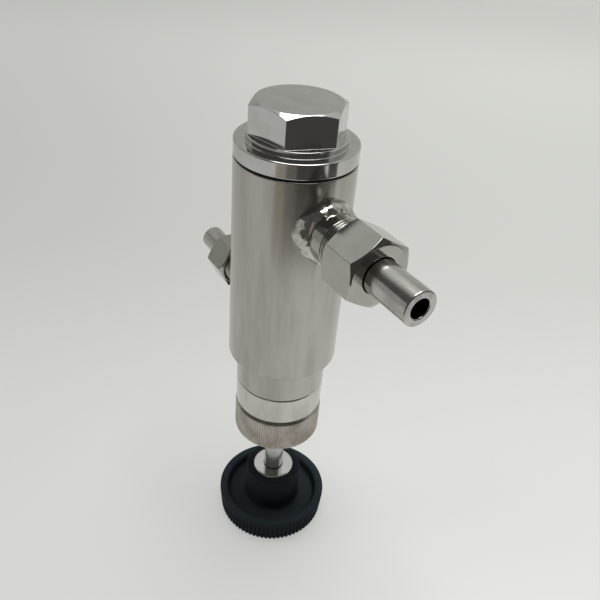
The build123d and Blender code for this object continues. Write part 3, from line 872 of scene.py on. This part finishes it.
@dataclass
class Port:
    """One port: connector with its thread, weld bead, union nut and tube end."""

    side: Side
    nut_turn: float
    seed: int
    columns: int = 240
    connector_thread: Thread = Thread(11.0, 1.5, 0.95)
    thread_start: float = 36.8
    cone_mouth: float = 8.0
    cone_bottom: float = 6.3
    cone_depth: float = 8.0
    bore: float = 4.25
    bead_width: float = 3.0
    bead_crest: float = 31.2
    bead_unevenness: float = 0.3
    ripple_orders: tuple[int, ...] = (4, 7, 10, 14, 19)
    ripple_depth: float = 0.5
    ripple_lag: float = 0.10
    bead_sink: float = 0.12
    nut_across_flats: float = 27.0
    nut_face_radius: float = 12.9
    nut_hole: float = 7.9
    nut_bore: float = 11.05
    nut_thread_length: float = 10.4
    seat_beyond_thread: float = 3.6
    cone_gap: float = 0.15
    tube_radius: float = 7.5
    shoulder_radius: float = 9.6
    shoulder_length: float = 3.2
    relief: float = 0.4
    relief_show: float = 0.5

    def reach(self, node_word: str) -> tuple[float, float]:
        """Measures one of the port's nodes along the port.

        Args:
            node_word: The node's name without the side's word.

        Returns:
            How far out its near and its far end stand, in millimetres.
        """
        low, high = span(f"{self.side.word}_{node_word}")
        ends = sorted((low[0] * self.side.value, high[0] * self.side.value))
        return ends[0], ends[1]

    def make(self, piece: str, drawn: Section, finish: Finish, body: str, slot: str, cad_node: str) -> None:
        """Turns a drawn piece about the port's axle and dresses it, with the side's word before its names."""
        made = turned(f"{self.side.word}_{piece}", self.side.axle(), drawn, True)
        dress(made, finish, body, slot, f"{self.side.word}_{cad_node}")

    def connector(self) -> None:
        """Builds the threaded union end with the sealing cone in its mouth.

        The section is straight but for the thread's ridge and the mouth, a cone between two given radii.
        """
        start, end = self.reach("connector")
        angles = even(self.columns)
        root = self.connector_thread.major - self.connector_thread.depth
        drawn = Section(angles)
        drawn.to(self.bore, start).to(self.connector_thread.major, start)
        drawn.through(*self.connector_thread.rows(angles, self.thread_start, end - THREAD_RUNOUT))
        drawn.to(root - 0.2, end).to(self.cone_mouth, end)
        drawn.to(self.cone_bottom, end - self.cone_depth).to(self.bore, end - self.cone_depth)
        self.make("union_end", drawn, UNION_STEEL, "housing", "union_steel", "connector")

    def bead(self) -> None:
        """Builds the weld bead in the corner between the connector and the barrel's round side.

        Round the port, the bead's toe lies on the barrel, whose distance out at radius r and angle a is the
        square root of R^2 - (r sin a)^2, and its top on the connector. The curve between is a bulged one of
        second order, swollen by an uneven ripple that lags towards both edges and dies out at them.
        """
        angles = even(480)
        barrel = turned_span("valve_body")[2]
        radius = self.connector_thread.major
        broad = wander(angles, self.seed, (2, 3, 5, 7, 11))
        fine = wander(angles, self.seed + 1, (11, 15, 19, 25))
        toe = radius + self.bead_width + self.bead_unevenness * broad
        crest = self.bead_crest + self.bead_unevenness * wander(angles, self.seed + 2, (2, 3, 4, 7))
        t = np.linspace(0, 1, 25)[None, :]
        toe_out = np.sqrt(barrel ** 2 - (toe * np.sin(angles)) ** 2) - 0.15
        bulge_radius = toe + 0.1
        bulge_out = crest - 0.6 + 0.3 * fine
        radii = ((1 - t) ** 2 * toe[:, None] + 2 * t * (1 - t) * bulge_radius[:, None]
                 + t ** 2 * (radius - self.bead_sink))
        heights = ((1 - t) ** 2 * toe_out[:, None] + 2 * t * (1 - t) * bulge_out[:, None]
                   + t ** 2 * crest[:, None])
        lagging = angles[:, None] + self.ripple_lag * (2 * t - 1) ** 2
        ripples = wander(lagging, self.seed + 3, self.ripple_orders)
        swell = self.ripple_depth * ripples * np.sin(np.pi * t) ** 1.5
        radii, heights = radii + 0.7 * swell, heights + 0.7 * swell
        under = np.stack([np.full(angles.shape, radius - self.bead_sink), toe], axis=1)
        depth = np.sqrt(barrel ** 2 - (under * np.sin(angles)[:, None]) ** 2) - 1.0
        radii = np.concatenate([radii, under], axis=1)
        heights = np.concatenate([heights, depth], axis=1)
        points = self.side.axle().place(np.broadcast_to(angles[:, None], radii.shape), radii, heights)
        piece = grid_object(f"{self.side.word}_weld_run", points[:, ::-1], True)
        dress(piece, WELD_STEEL, "housing", "weld_steel", f"{self.side.word}_weld")

    def nut(self) -> None:
        """Builds the hexagon union nut with a turned chamfer at both ends and an inner cone.

        Each chamfer drops by the hexagon's radius less the face's, times the tangent of its angle. The inner
        cone stands at 45 degrees, so it gains in radius what it gains in length, a gap clear of the shoulder.
        """
        start, end = self.reach("union_nut")
        hexagon = Hexagon(self.nut_across_flats, self.nut_turn, 0.35)
        angles = hexagon.angles(20)
        outer = hexagon.radius(angles)
        drop = (outer - self.nut_face_radius) * np.tan(np.radians(CHAMFER_ANGLE))
        seat = start + self.nut_thread_length + self.seat_beyond_thread
        cone_start = seat - (self.nut_bore - self.shoulder_radius - self.cone_gap)
        cone_end = seat + (self.shoulder_radius + self.cone_gap - self.nut_hole)
        drawn = Section(angles)
        drawn.to(self.nut_bore, start + THREAD_RUNOUT).to(self.nut_bore + THREAD_RUNOUT, start)
        drawn.to(self.nut_face_radius, start, 0.3).to(outer, start + drop).to(outer, end - drop, 0.16)
        drawn.to(self.nut_face_radius, end, 0.3).to(self.nut_hole, end, 0.15)
        drawn.to(self.nut_hole, cone_end, 0.3).to(self.nut_bore, cone_start, 0.3)
        self.make("hexagon_nut", drawn, UNION_STEEL, f"{self.side.word}_nut", "union_steel", "union_nut")

    def tube(self) -> None:
        """Builds the tube end with its cone nose and shoulder, open right through.

        The nose's radius is the mouth's less how deep it reaches times the tangent of the sealing angle, and
        less the running gap. Behind the shoulder a cone at 45 degrees leads down to the relieved length.
        """
        start, end = self.reach("tube_stub")
        mouth = self.reach("connector")[1]
        back = mouth + self.shoulder_length + 0.4
        nose = self.cone_mouth - (mouth - start) * np.tan(np.radians(SEAL_ANGLE)) - RUNNING
        drawn = Section(even(160))
        drawn.to(self.bore, start).to(nose, start, 0.3).to(self.cone_mouth - RUNNING, mouth + 0.3, 0.1)
        drawn.to(self.shoulder_radius, mouth + 0.3)
        drawn.to(self.shoulder_radius, back, 0.3)
        waist = self.tube_radius - self.relief
        step = self.reach("union_nut")[1] + self.relief_show
        drawn.to(waist, back + self.shoulder_radius - waist, 0.4)
        drawn.to(waist, step, 0.04, 1).to(self.tube_radius, step, 0.06, 2)
        drawn.to(self.tube_radius, end, 0.55, 4).to(self.bore, end, 0.5, 4)
        self.make("tube_end", drawn, TUBE_STEEL, f"{self.side.word}_stub", "tube_steel", "tube_stub")

    def build(self) -> None:
        """Builds the port's four pieces."""
        self.connector()
        self.bead()
        self.nut()
        self.tube()


@dataclass
class SpringHousing:
    """Bonnet with its plain outside ring, and the knurled lock ring below it."""

    ring_low: float = 83.6
    ring_high: float = 98.6
    tail_radius: float = 17.0
    taper_mouth: float = 9.9
    taper_tip: float = 8.0
    taper_top: float = 74.0
    bush_low: float = 74.5
    bush_high: float = 82.0
    bush_radius: float = 9.0
    spring_bore: float = 14.6
    spigot: Thread = Thread(19.0, 1.5, 0.85)
    teeth: int = 110
    tooth_depth: float = 0.45
    ring_floor: float = 5.2
    ring_hole: float = 6.6

    def bonnet(self) -> None:
        """Builds the bonnet: the tail, the plain ring and the threaded spigot, bored for bush and spring."""
        bottom, top, radius = turned_span("bonnet")
        angles = even(216)
        drawn = Section(angles)
        drawn.to(self.taper_mouth, bottom).to(self.tail_radius, bottom, 0.7)
        drawn.to(self.tail_radius, self.ring_low).to(radius, self.ring_low, 1.0, 5)
        drawn.to(radius, self.ring_high, 1.0, 5).to(self.spigot.major, self.ring_high)
        drawn.through(*self.spigot.rows(angles, self.ring_high + 1.2, top - THREAD_RUNOUT))
        drawn.to(self.spigot.major - self.spigot.depth, top, 0.3).to(self.spring_bore, top, 0.4)
        drawn.to(self.spring_bore, self.bush_high, 0.3).to(self.bush_radius, self.bush_high)
        drawn.to(self.bush_radius, self.bush_low).to(self.taper_tip, self.bush_low, 0.1)
        drawn.to(self.taper_tip, self.taper_top, 0.1)
        piece = turned("spring_housing", VALVE_AXLE, drawn, True)
        dress(piece, TURNED_STEEL, "housing", "ring_steel", "bonnet")

    def lock_ring(self) -> None:
        """Builds the knurled ring.

        The radius rises and falls along each tooth as a softened triangle wave. The chamfers are cones at 45
        degrees, so a tooth is cut back as far as it stands above the chamfer's own circle.
        """
        bottom, top, radius = turned_span("lock_ring")
        angles = even(self.teeth * 8)
        phase = (angles * self.teeth / (2 * np.pi)) % 1
        outer = radius - self.tooth_depth * np.clip(1.15 * np.abs(2 * phase - 1) - 0.05, 0, 1)
        rim = radius - 3 * self.tooth_depth
        drop = outer - rim
        bore = self.tail_radius + RUNNING
        inside = bottom + self.ring_floor
        drawn = Section(angles)
        drawn.to(self.ring_hole, bottom, 0.3).to(rim, bottom).to(outer, bottom + drop)
        drawn.to(outer, top - drop).to(rim, top, 0.25).to(bore, top, 0.4)
        drawn.to(bore, inside, 0.3).to(self.ring_hole, inside)
        piece = turned("knurled_lock_ring", VALVE_AXLE, drawn, True)
        dress(piece, KNURLED_STEEL, "lock_ring", "knurled_steel", "lock_ring")

    def build(self) -> None:
        """Builds both rings."""
        self.bonnet()
        self.lock_ring()


@dataclass
class Adjuster:
    """Everything that turns with the hand knob: stem, knob, its steel boss and the set screw."""

    journal: float = 5.0
    stem_thread: Thread = Thread(6.0, 1.75, 1.0)
    journal_top: float = 47.6
    groove_low: float = 82.1
    groove_high: float = 83.3
    groove_radius: float = 5.3
    ball_pocket: float = 2.2
    hub_radius: float = 15.0
    face_radius: float = 28.7
    rim_height: float = 13.6
    lip_drop: float = 2.2
    lip_inner: float = 25.1
    dish_floor: float = 7.4
    dish_draft: float = 1.0
    dish_round: float = 3.0
    hub_round: float = 1.1
    flutes: int = 76
    flute_depth: float = 0.75
    flute_width: float = 1.75
    boss_recess: float = 5.45
    boss_recess_depth: float = 1.5
    knob_floor: float = 6.0
    screw_turn: float = 146.6
    screw_height: float = 19.0
    screw_radius: float = 2.5
    screw_socket: float = 2.5

    def stem(self) -> None:
        """Builds the stem: a plain journal in the knob and the adjusting thread above it."""
        bottom, top, _ = turned_span("adjusting_screw")
        angles = even(144)
        major = self.stem_thread.major
        drawn = Section(angles)
        drawn.to(0, bottom).to(self.journal, bottom, 0.4).to(self.journal, self.journal_top, 0.15)
        drawn.to(major, self.journal_top + 1, 0.15)
        drawn.through(*self.stem_thread.rows(angles, self.journal_top + 1.5, self.groove_low - 0.4))
        drawn.to(major, self.groove_low, 0.1).to(self.groove_radius, self.groove_low, 0.1)
        drawn.to(self.groove_radius, self.groove_high, 0.1).to(major, self.groove_high, 0.1)
        drawn.to(major, top - THREAD_RUNOUT).to(major - THREAD_RUNOUT, top)
        drawn.to(self.ball_pocket, top).to(0, top - 1.2)
        piece = turned("adjusting_stem", VALVE_AXLE, drawn, False)
        dress(piece, STEM_STEEL, "adjuster", "stem_steel", "adjusting_screw")

    def screw_axle(self) -> Axle:
        """Lays the set screw's axle outwards from the stem, along the cosine and sine of its azimuth.

        Returns:
            The axle, with angle 0 straight up.
        """
        turn = np.radians(self.screw_turn)
        out = (float(np.cos(turn)), float(np.sin(turn)), 0.0)
        return Axle((0, 0, self.screw_height), out, (0, 0, 1))

    def screw_hole(self, name: str) -> Object:
        """Makes the cutter of the set screw's radial hole.

        Args:
            name: The cutter's name.

        Returns:
            The cutter, a closed cylinder.
        """
        drawn = Section(even(64))
        drawn.to(0, self.journal - 0.5, 0).to(self.screw_radius, self.journal - 0.5, 0)
        drawn.to(self.screw_radius, self.hub_radius + 8, 0).to(0, self.hub_radius + 8, 0)
        return turned(name, self.screw_axle(), drawn, False)

    def knob(self) -> None:
        """Builds the hand knob.

        The rim widens in a straight line from its face to its lip. Each flute is a cosine trough across its
        width, and it runs out smoothly into the rounded lip.
        """
        bottom, top, radius = turned_span("knob")
        boss = turned_span("knob_insert")[2]
        per_flute = 10
        angles = even(self.flutes * per_flute)
        rim_top = self.rim_height - self.lip_drop
        pitch = 2 * np.pi * radius / self.flutes
        off = np.abs((angles * self.flutes / (2 * np.pi) + 0.5) % 1 - 0.5) * pitch
        wave = 0.5 + 0.5 * np.cos(2 * np.pi * off / self.flute_width)
        trough = np.where(off < self.flute_width / 2, wave, 0)
        heights = np.concatenate([np.linspace(1.1, rim_top - 2.2, 6), np.linspace(rim_top - 1.8, rim_top, 9)])
        wall = self.face_radius + (radius - self.face_radius) * heights / rim_top
        runout = 1 - ease(heights, rim_top - 1.6, rim_top - 0.1)
        radii = wall[None, :] - self.flute_depth * trough[:, None] * runout[None, :]
        drawn = Section(angles)
        drawn.to(0, bottom).to(self.face_radius - self.flute_depth * trough - 0.1, bottom, 0.8, 4)
        drawn.through(radii, heights)
        drawn.to(radius, self.rim_height, self.lip_drop, 10)
        drawn.to(self.lip_inner, self.rim_height, self.lip_drop, 10)
        drawn.to(self.lip_inner - self.dish_draft, self.dish_floor, self.dish_round, 8)
        drawn.to(self.hub_radius, self.dish_floor, self.dish_round, 8)
        drawn.to(self.hub_radius, top, self.hub_round, 6).to(boss, top, 0.25)
        drawn.to(boss, self.knob_floor, 0.3).to(0, self.knob_floor)
        piece = turned("hand_knob", VALVE_AXLE, drawn, False)
        cut_away(piece, self.screw_hole("knob_hole"))
        dress(piece, PHENOLIC, "adjuster", "black_plastic", "knob")

    def boss(self) -> None:
        """Builds the steel boss in the hub, faced bright, with a shallow recess round the stem."""
        bottom, top, radius = turned_span("knob_insert")
        drawn = Section(even(160))
        drawn.to(self.journal + 0.01, bottom, 0.1).to(radius, bottom, 0.4).to(radius, top, 0.7, 4)
        drawn.to(self.boss_recess, top, 0.15).to(self.boss_recess, top - self.boss_recess_depth, 0.1)
        drawn.to(self.journal + 0.01, top - self.boss_recess_depth, 0.1)
        piece = turned("knob_boss", VALVE_AXLE, drawn, True)
        cut_away(piece, self.screw_hole("boss_hole"))
        dress(piece, FACED_STEEL, "adjuster", "insert_steel", "knob_insert")

    def set_screw(self) -> None:
        """Builds the set screw with its hexagon socket facing out.

        Its outer end stands 1 mm nearer than the farthest corner of the node's box, seen from above.
        """
        low, high = span("knob_set_screw")
        far = float(np.hypot(*np.maximum(np.abs(low[:2]), np.abs(high[:2])))) - 1.0
        socket = Hexagon(self.screw_socket, 0.0, 0.12)
        angles = socket.angles(8)
        drawn = Section(angles)
        drawn.to(0, self.journal + 0.02).to(self.screw_radius - 0.7, self.journal + 0.02)
        drawn.to(self.screw_radius - 0.04, self.journal + 0.9).to(self.screw_radius - 0.04, far, 0.35)
        drawn.to(socket.radius(angles) + 0.25, far, 0.08).to(socket.radius(angles), far - 0.25, 0.08)
        drawn.to(socket.radius(angles), far - 2.4, 0.1).to(0, far - 2.8)
        piece = turned("hub_set_screw", self.screw_axle(), drawn, False)
        dress(piece, SPRING_STEEL, "adjuster", "inner_steel", "knob_set_screw")

    def build(self) -> None:
        """Builds the pieces of the adjuster."""
        self.stem()
        self.knob()
        self.boss()
        self.set_screw()


@dataclass
class InnerPieces:
    """The pieces inside, whose CAD shapes are right and only need their finish."""

    finishes: tuple[tuple[Finish, tuple[str, ...]], ...] = (
        (INNER_STEEL, ("seat_ring", "strainer", "stop_ring", "lower_spring_button", "thrust_ball",
                       "upper_spring_button", "push_rod", "poppet")),
        (BRONZE, ("adjusting_bush", "piston")),
        (FLUOROPLASTIC, ("lock_collet", "guide_ring", "poppet_disc")),
        (NITRILE, ("piston_oring", "front_cone_oring", "rear_cone_oring")),
    )

    def build(self) -> None:
        """Gives each node its finish through its object's own slots."""
        for finish, names in self.finishes:
            for name in names:
                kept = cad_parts[name]
                if not kept.material_slots:
                    kept.data.materials.append(finish.material())
                for place in kept.material_slots:
                    place.material = finish.material()
                LOG.info("%s: kept, %s", name, finish.name)


@dataclass
class Spring:
    """Open-wound compression spring of square wire with both ends ground flat.

    It rides on the piece that presses it.

    Attributes:
        cad_node: The node that it stands for.
        body: The body that it rides on.
        joint: Not used.
        travel: Not used.
        wire: Width of the wire.
        coil_radius: Radius of the coil at the wire's middle.
        coils: Number of turns.
    """

    cad_node: str
    body: str
    joint: str
    travel: float
    wire: float
    coil_radius: float
    coils: float
    corner: float = 0.15
    per_turn: int = 72

    def build(self) -> None:
        """Winds the wire, a rounded square carried up a helix and cut off flat at both ends.

        A section's angle is its height above the foot times the turns per length. Each of its points stands
        at the coil's radius plus its own place across the wire, and at the section's height plus its place
        upward, held between the two ends. Each end of the wire closes in the mean of its points.
        """
        bottom, top, _ = turned_span(self.cad_node)
        turn = 2 * np.pi * self.coils / (top - bottom)
        over = 0.4 * self.wire
        middles = np.linspace(bottom - over, top + over, int(self.coils * self.per_turn))
        steps = np.arange(12)
        aim = np.radians(90 * (steps // 3) + 45 * (steps % 3))
        corner = np.radians(90 * (steps // 3) + 45)
        flat = (0.5 - self.corner) * self.wire
        across = flat * np.sign(np.cos(corner)) + self.corner * self.wire * np.cos(aim)
        upward = -flat * np.sign(np.sin(corner)) - self.corner * self.wire * np.sin(aim)
        heights = np.clip(middles[None, :] + upward[:, None], bottom, top)
        radii = self.coil_radius + across[:, None] + 0 * heights
        angles = (middles - bottom) * turn + 0 * heights
        points = VALVE_AXLE.place(angles, radii, heights)
        tips = points[:, [0, -1]].mean(axis=0, keepdims=True).repeat(len(steps), axis=0)
        points = np.concatenate([tips[:, :1], points, tips[:, 1:]], axis=1)
        piece = grid_object(f"{self.cad_node}_wire", points, False)
        piece.data.set_sharp_from_angle(angle=np.radians(SHARP_ANGLE))
        dress(piece, SPRING_STEEL, self.body, "spring_steel", self.cad_node)
        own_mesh(piece)


@dataclass
class Camera:
    """The photograph's camera, found from the piece's known sizes.

    Attributes:
        distance: How far the camera stands from the valve's axis, level.
        height: How high it stands above the floor.
        pitch: How far it looks down.
        swing: How far it looks to the right of the axis.
        roll: How far it is tilted about its own line of sight.
        azimuth: Where it stands round the valve, from -Y.
        lens: Focal length on a 36 mm sensor.
    """

    distance: float = 261.7
    height: float = 328.3
    pitch: float = 35.12
    swing: float = 1.51
    roll: float = 5.12
    azimuth: float = 56.6
    lens: float = 40.76

    def build(self) -> None:
        """Sets up the camera.

        Its line of sight f, its level right hand r and its upright u = r x f come from the pitch and swing.
        The roll mixes r and u, and the whole is turned about +Z by the azimuth.
        """
        p, w, r = np.radians([self.pitch, self.swing, self.roll])
        sight = np.array([np.sin(w) * np.cos(p), np.cos(w) * np.cos(p), -np.sin(p)])
        right = np.array([np.cos(w), -np.sin(w), 0])
        upright = np.cross(right, sight)
        across = np.cos(r) * right + np.sin(r) * upright
        up = -np.sin(r) * right + np.cos(r) * upright
        turned_axes = Matrix(np.stack([across, up, -sight], axis=1).tolist()).to_4x4()
        place = Matrix.Translation(Vector((0, -self.distance * MM, self.height * MM)))
        camera = bpy.data.objects.new("camera", bpy.data.cameras.new("camera"))
        bpy.context.scene.collection.objects.link(camera)
        camera.data.lens = self.lens
        camera.data.sensor_width = 36
        camera.data.clip_start, camera.data.clip_end = 0.01, 20
        camera.matrix_world = Matrix.Rotation(np.radians(self.azimuth), 4, "Z") @ place @ turned_axes
        bpy.context.scene.camera = camera


@dataclass
class Studio:
    """Pale seamless floor that sweeps up into a backdrop, soft lamps, and cards for the steel to mirror.

    Attributes:
        floor_radius: Where the floor starts to rise.
        sweep: Radius of the bend between floor and wall.
        wall: Height of the backdrop.
        far_tone: The floor's tone behind the valve, painted darker as painted shade.
        near_tone: Its tone in front, painted lighter as painted light.
        own_light: How much of the floor's look is its colour alone. The rest takes light and shadow.
        card_radius: How far off the dark cards stand.
        card_height: How high they reach.
        cards_at: Between which azimuths from +X each card stands, the height of its foot, and its colour.
        right_hand: Level direction to the photographer's right.
        away: Level direction away from the photographer.
        sky_tone: The room's colour above the backdrop.
        room_tone: Its colour behind the photographer.
        wall_facing: Azimuth of the backdrop's middle.
        left_drop: Which share of its height it loses on the left.
        eye_distance: How far off the photographer is, in metres.
        side_slant: Slope of the sight lines at which the painted side light reaches its levels.
        side_levels: Painted light: how bright the floor is painted on the left and on the right.
        far_start: Where the far painted shade begins and is complete, in metres.
        rise_start: Where the floor's painted light begins to brighten towards the wall and ends, in metres.
        rise_level: How bright the painted light makes it there.
    """

    floor_radius: float = 1500.0
    sweep: float = 700.0
    wall: float = 1900.0
    # Painted tones of the floor: darker behind the valve as painted shade, lighter in front as painted light
    far_tone: str = "cfd0cb"
    near_tone: str = "e1e1df"
    own_light: float = 0.56
    card_radius: float = 330.0
    card_height: float = 300.0
    cards_at: tuple[tuple[float, float, float, str], ...] = (
        (-66.0, -48.0, 0.0, "a39d94"), (-48.0, -30.0, 0.0, "77726b"), (-30.0, 19.0, 0.0, "4d4c4b"),
        (25.0, 44.0, 60.0, "4d4c4b"))
    right_hand: tuple[float, float, float] = (0.572, 0.820, 0.0)
    away: tuple[float, float, float] = (-0.820, 0.572, 0.0)
    sky_tone: str = "d6d8d5"
    room_tone: str = "5a5957"
    wall_facing: float = 127.5
    left_drop: float = 0.55
    eye_distance: float = 0.75
    side_slant: float = 0.35
    # Painted light levels of the floor, to the sides and towards the wall
    side_levels: tuple[float, float] = (0.83, 1.04)
    far_start: tuple[float, float] = (-0.08, 0.30)
    rise_start: tuple[float, float] = (0.3, 1.1)
    rise_level: float = 1.26

    def floor_material(self) -> Material:
        """Makes the pale paper with painted light: painted brighter in front and to the right, as the room's
        light falls on it.

        The painted light level runs on the slope of the sight line, which is how far right a place lies over
        how far from the photographer, and rises towards the wall. The painted tone runs from near to far with
        the distance away.

        Returns:
            The material.
        """
        material, tree, output = new_material("seamless_paper")
        place = node(tree, "ShaderNodeTexCoord").outputs["Object"]
        across = along(tree, place, self.right_hand)
        depth = along(tree, place, self.away)
        reach = maths(tree, "MAXIMUM", maths(tree, "ADD", depth, self.eye_distance), 0.3)
        slant = maths(tree, "DIVIDE", across, reach)
        # Painted light: the floor's tone is scaled brighter to the right and towards the wall
        side = ramp(tree, slant, -self.side_slant, self.side_slant, *self.side_levels)
        lift = ramp(tree, depth, *self.rise_start, 1.0, self.rise_level)
        # Painted shade: the tone darkens from the near tone to the far tone away from the photographer
        tone = blend(tree, ramp(tree, depth, *self.far_start), self.near_tone, self.far_tone)
        shaded = node(tree, "ShaderNodeVectorMath", {"operation": "SCALE"}, {
            0: tone, "Scale": maths(tree, "MULTIPLY", side, lift)})
        rays = node(tree, "ShaderNodeLightPath").outputs
        seen = maths(tree, "MAXIMUM", rays["Is Camera Ray"], rays["Is Glossy Ray"])
        seen = maths(tree, "MAXIMUM", seen, rays["Is Transmission Ray"])
        share = maths(tree, "MULTIPLY", seen, self.own_light)
        plain = node(tree, "ShaderNodeBsdfDiffuse", inputs={"Color": shaded.outputs["Vector"]})
        glow = node(tree, "ShaderNodeEmission", inputs={"Color": shaded.outputs["Vector"], "Strength": 1.0})
        both = node(tree, "ShaderNodeMixShader", inputs={
            0: share, 1: plain.outputs[0], 2: glow.outputs[0]})
        tree.links.new(both.outputs[0], output.inputs["Surface"])
        return material

    def backdrop(self) -> None:
        """Builds the floor and wall as one sheet: flat, then a quarter circle, then upright.

        Along the bend the radius is the floor's plus the sweep times the cosine of the angle, and the height
        is the sweep times 1 plus its sine. The wall stands round the far side only. It drops on the left, and
        towards the photographer the sheet lies flat.
        """
        bend = np.linspace(-np.pi / 2, 0, 24)
        radii = np.concatenate([[0, 40, 120, 300, 700], self.floor_radius + self.sweep * np.cos(bend),
                                [self.floor_radius + self.sweep]])
        heights = np.concatenate([np.zeros(5), self.sweep * (1 + np.sin(bend)), [self.wall]]) - 0.1
        angles = even(144)
        off = (np.degrees(angles) - self.wall_facing + 180) % 360 - 180
        upright = (1 - ease(-off, 78, 86)) * (1 - ease(off, 120, 130))
        upright *= 1 - self.left_drop * ease(off, 76, 84)
        shape = (len(angles), len(radii))
        points = VALVE_AXLE.place(np.broadcast_to(angles[:, None], shape), np.broadcast_to(radii, shape),
                                  upright[:, None] * (heights + 0.1) - 0.1)
        sheet = grid_object("studio_sweep", points[:, ::-1], False)
        sheet.data.materials.append(self.floor_material())

    def cards(self) -> None:
        """Stands dark cards round the right-hand front, parts of a cylinder that only the steel shows."""
        for number, (start, end, foot, tone) in enumerate(self.cards_at):
            material, tree, output = new_material(f"dark_card_{number}")
            glow = node(tree, "ShaderNodeEmission", inputs={"Color": linear(tone), "Strength": 1.0})
            tree.links.new(glow.outputs[0], output.inputs["Surface"])
            angles = np.radians(np.linspace(start, end, 24))[:, None]
            heights = np.array([[foot, self.card_height]])
            shape = np.broadcast_shapes(angles.shape, heights.shape)
            points = VALVE_AXLE.place(np.broadcast_to(angles, shape), np.full(shape, self.card_radius),
                                      np.broadcast_to(heights, shape))
            card = grid_object(f"card_{number}", points, False, False)
            card.data.materials.append(material)
            for kind in ("camera", "diffuse", "shadow", "transmission"):
                setattr(card, f"visible_{kind}", False)

    def lamps(self) -> None:
        """Hangs a wide soft lamp overhead and a weaker one to the left, which the steel doesn't mirror."""
        for name, place, size, power in (
            ("overhead", (-0.10, 0.15, 1.35), 0.9, 15.0),
            ("left_fill", (-0.6, -0.9, 0.9), 0.7, 4.0),
        ):
            lamp = bpy.data.lights.new(name, "AREA")
            lamp.shape = "DISK"
            lamp.size = size
            lamp.energy = power
            hung = bpy.data.objects.new(name, lamp)
            hung.visible_glossy = name == "overhead"
            bpy.context.scene.collection.objects.link(hung)
            hung.location = place
            hung.rotation_mode = "QUATERNION"
            hung.rotation_quaternion = (Vector(place) - Vector((0, 0, 0.12))).to_track_quat("Z", "Y")

    def sky(self) -> None:
        """Lights the room: pale on the backdrop's side, dim on the side that the photographer stands on.

        The mix runs on the dot product of the direction with the one to the backdrop's middle.
        """
        world = bpy.data.worlds.new("room")
        bpy.context.scene.world = world
        world.use_nodes = True
        tree = world.node_tree
        tree.nodes.clear()
        heading = node(tree, "ShaderNodeTexCoord").outputs["Generated"]
        facing = np.radians(self.wall_facing)
        depth = along(tree, heading, (float(np.cos(facing)), float(np.sin(facing)), 0.0))
        tone = blend(tree, ramp(tree, depth, 0.0, 0.22), self.room_tone, self.sky_tone)
        light = node(tree, "ShaderNodeBackground", inputs={"Color": tone, "Strength": 1.0})
        output = node(tree, "ShaderNodeOutputWorld")
        tree.links.new(light.outputs[0], output.inputs["Surface"])

    def build(self) -> None:
        """Sets up the room and its light."""
        self.backdrop()
        self.cards()
        self.lamps()
        self.sky()
        bpy.context.scene.view_settings.view_transform = "Standard"


def main() -> None:
    """Builds the valve from the camera inwards."""
    logging.basicConfig(level=logging.INFO, format="%(message)s")
    Camera().build()
    front = Port(Side.FRONT, 0.0, 11)
    rear = Port(
        Side.REAR, -27.0, 29, connector_thread=Thread(9.0, 1.5, 0.95), thread_start=37.2, cone_mouth=7.0,
        cone_bottom=5.3, bore=3.5, nut_across_flats=22.0, nut_face_radius=10.4, nut_hole=6.4, nut_bore=9.05,
        nut_thread_length=9.0, tube_radius=6.0, shoulder_radius=8.1)
    Barrel((front, rear)).build()
    Cap().build()
    front.build()
    rear.build()
    SpringHousing().build()
    Adjuster().build()
    InnerPieces().build()
    Spring("range_spring", "spring_button", "screw_travel", 8.0, 3.0, 11.4, 4).build()
    Spring("poppet_spring", "poppet", "poppet_lift", 2.1, 1.2, 6.1, 6).build()
    Studio().build()


if __name__ == "__main__":
    main()
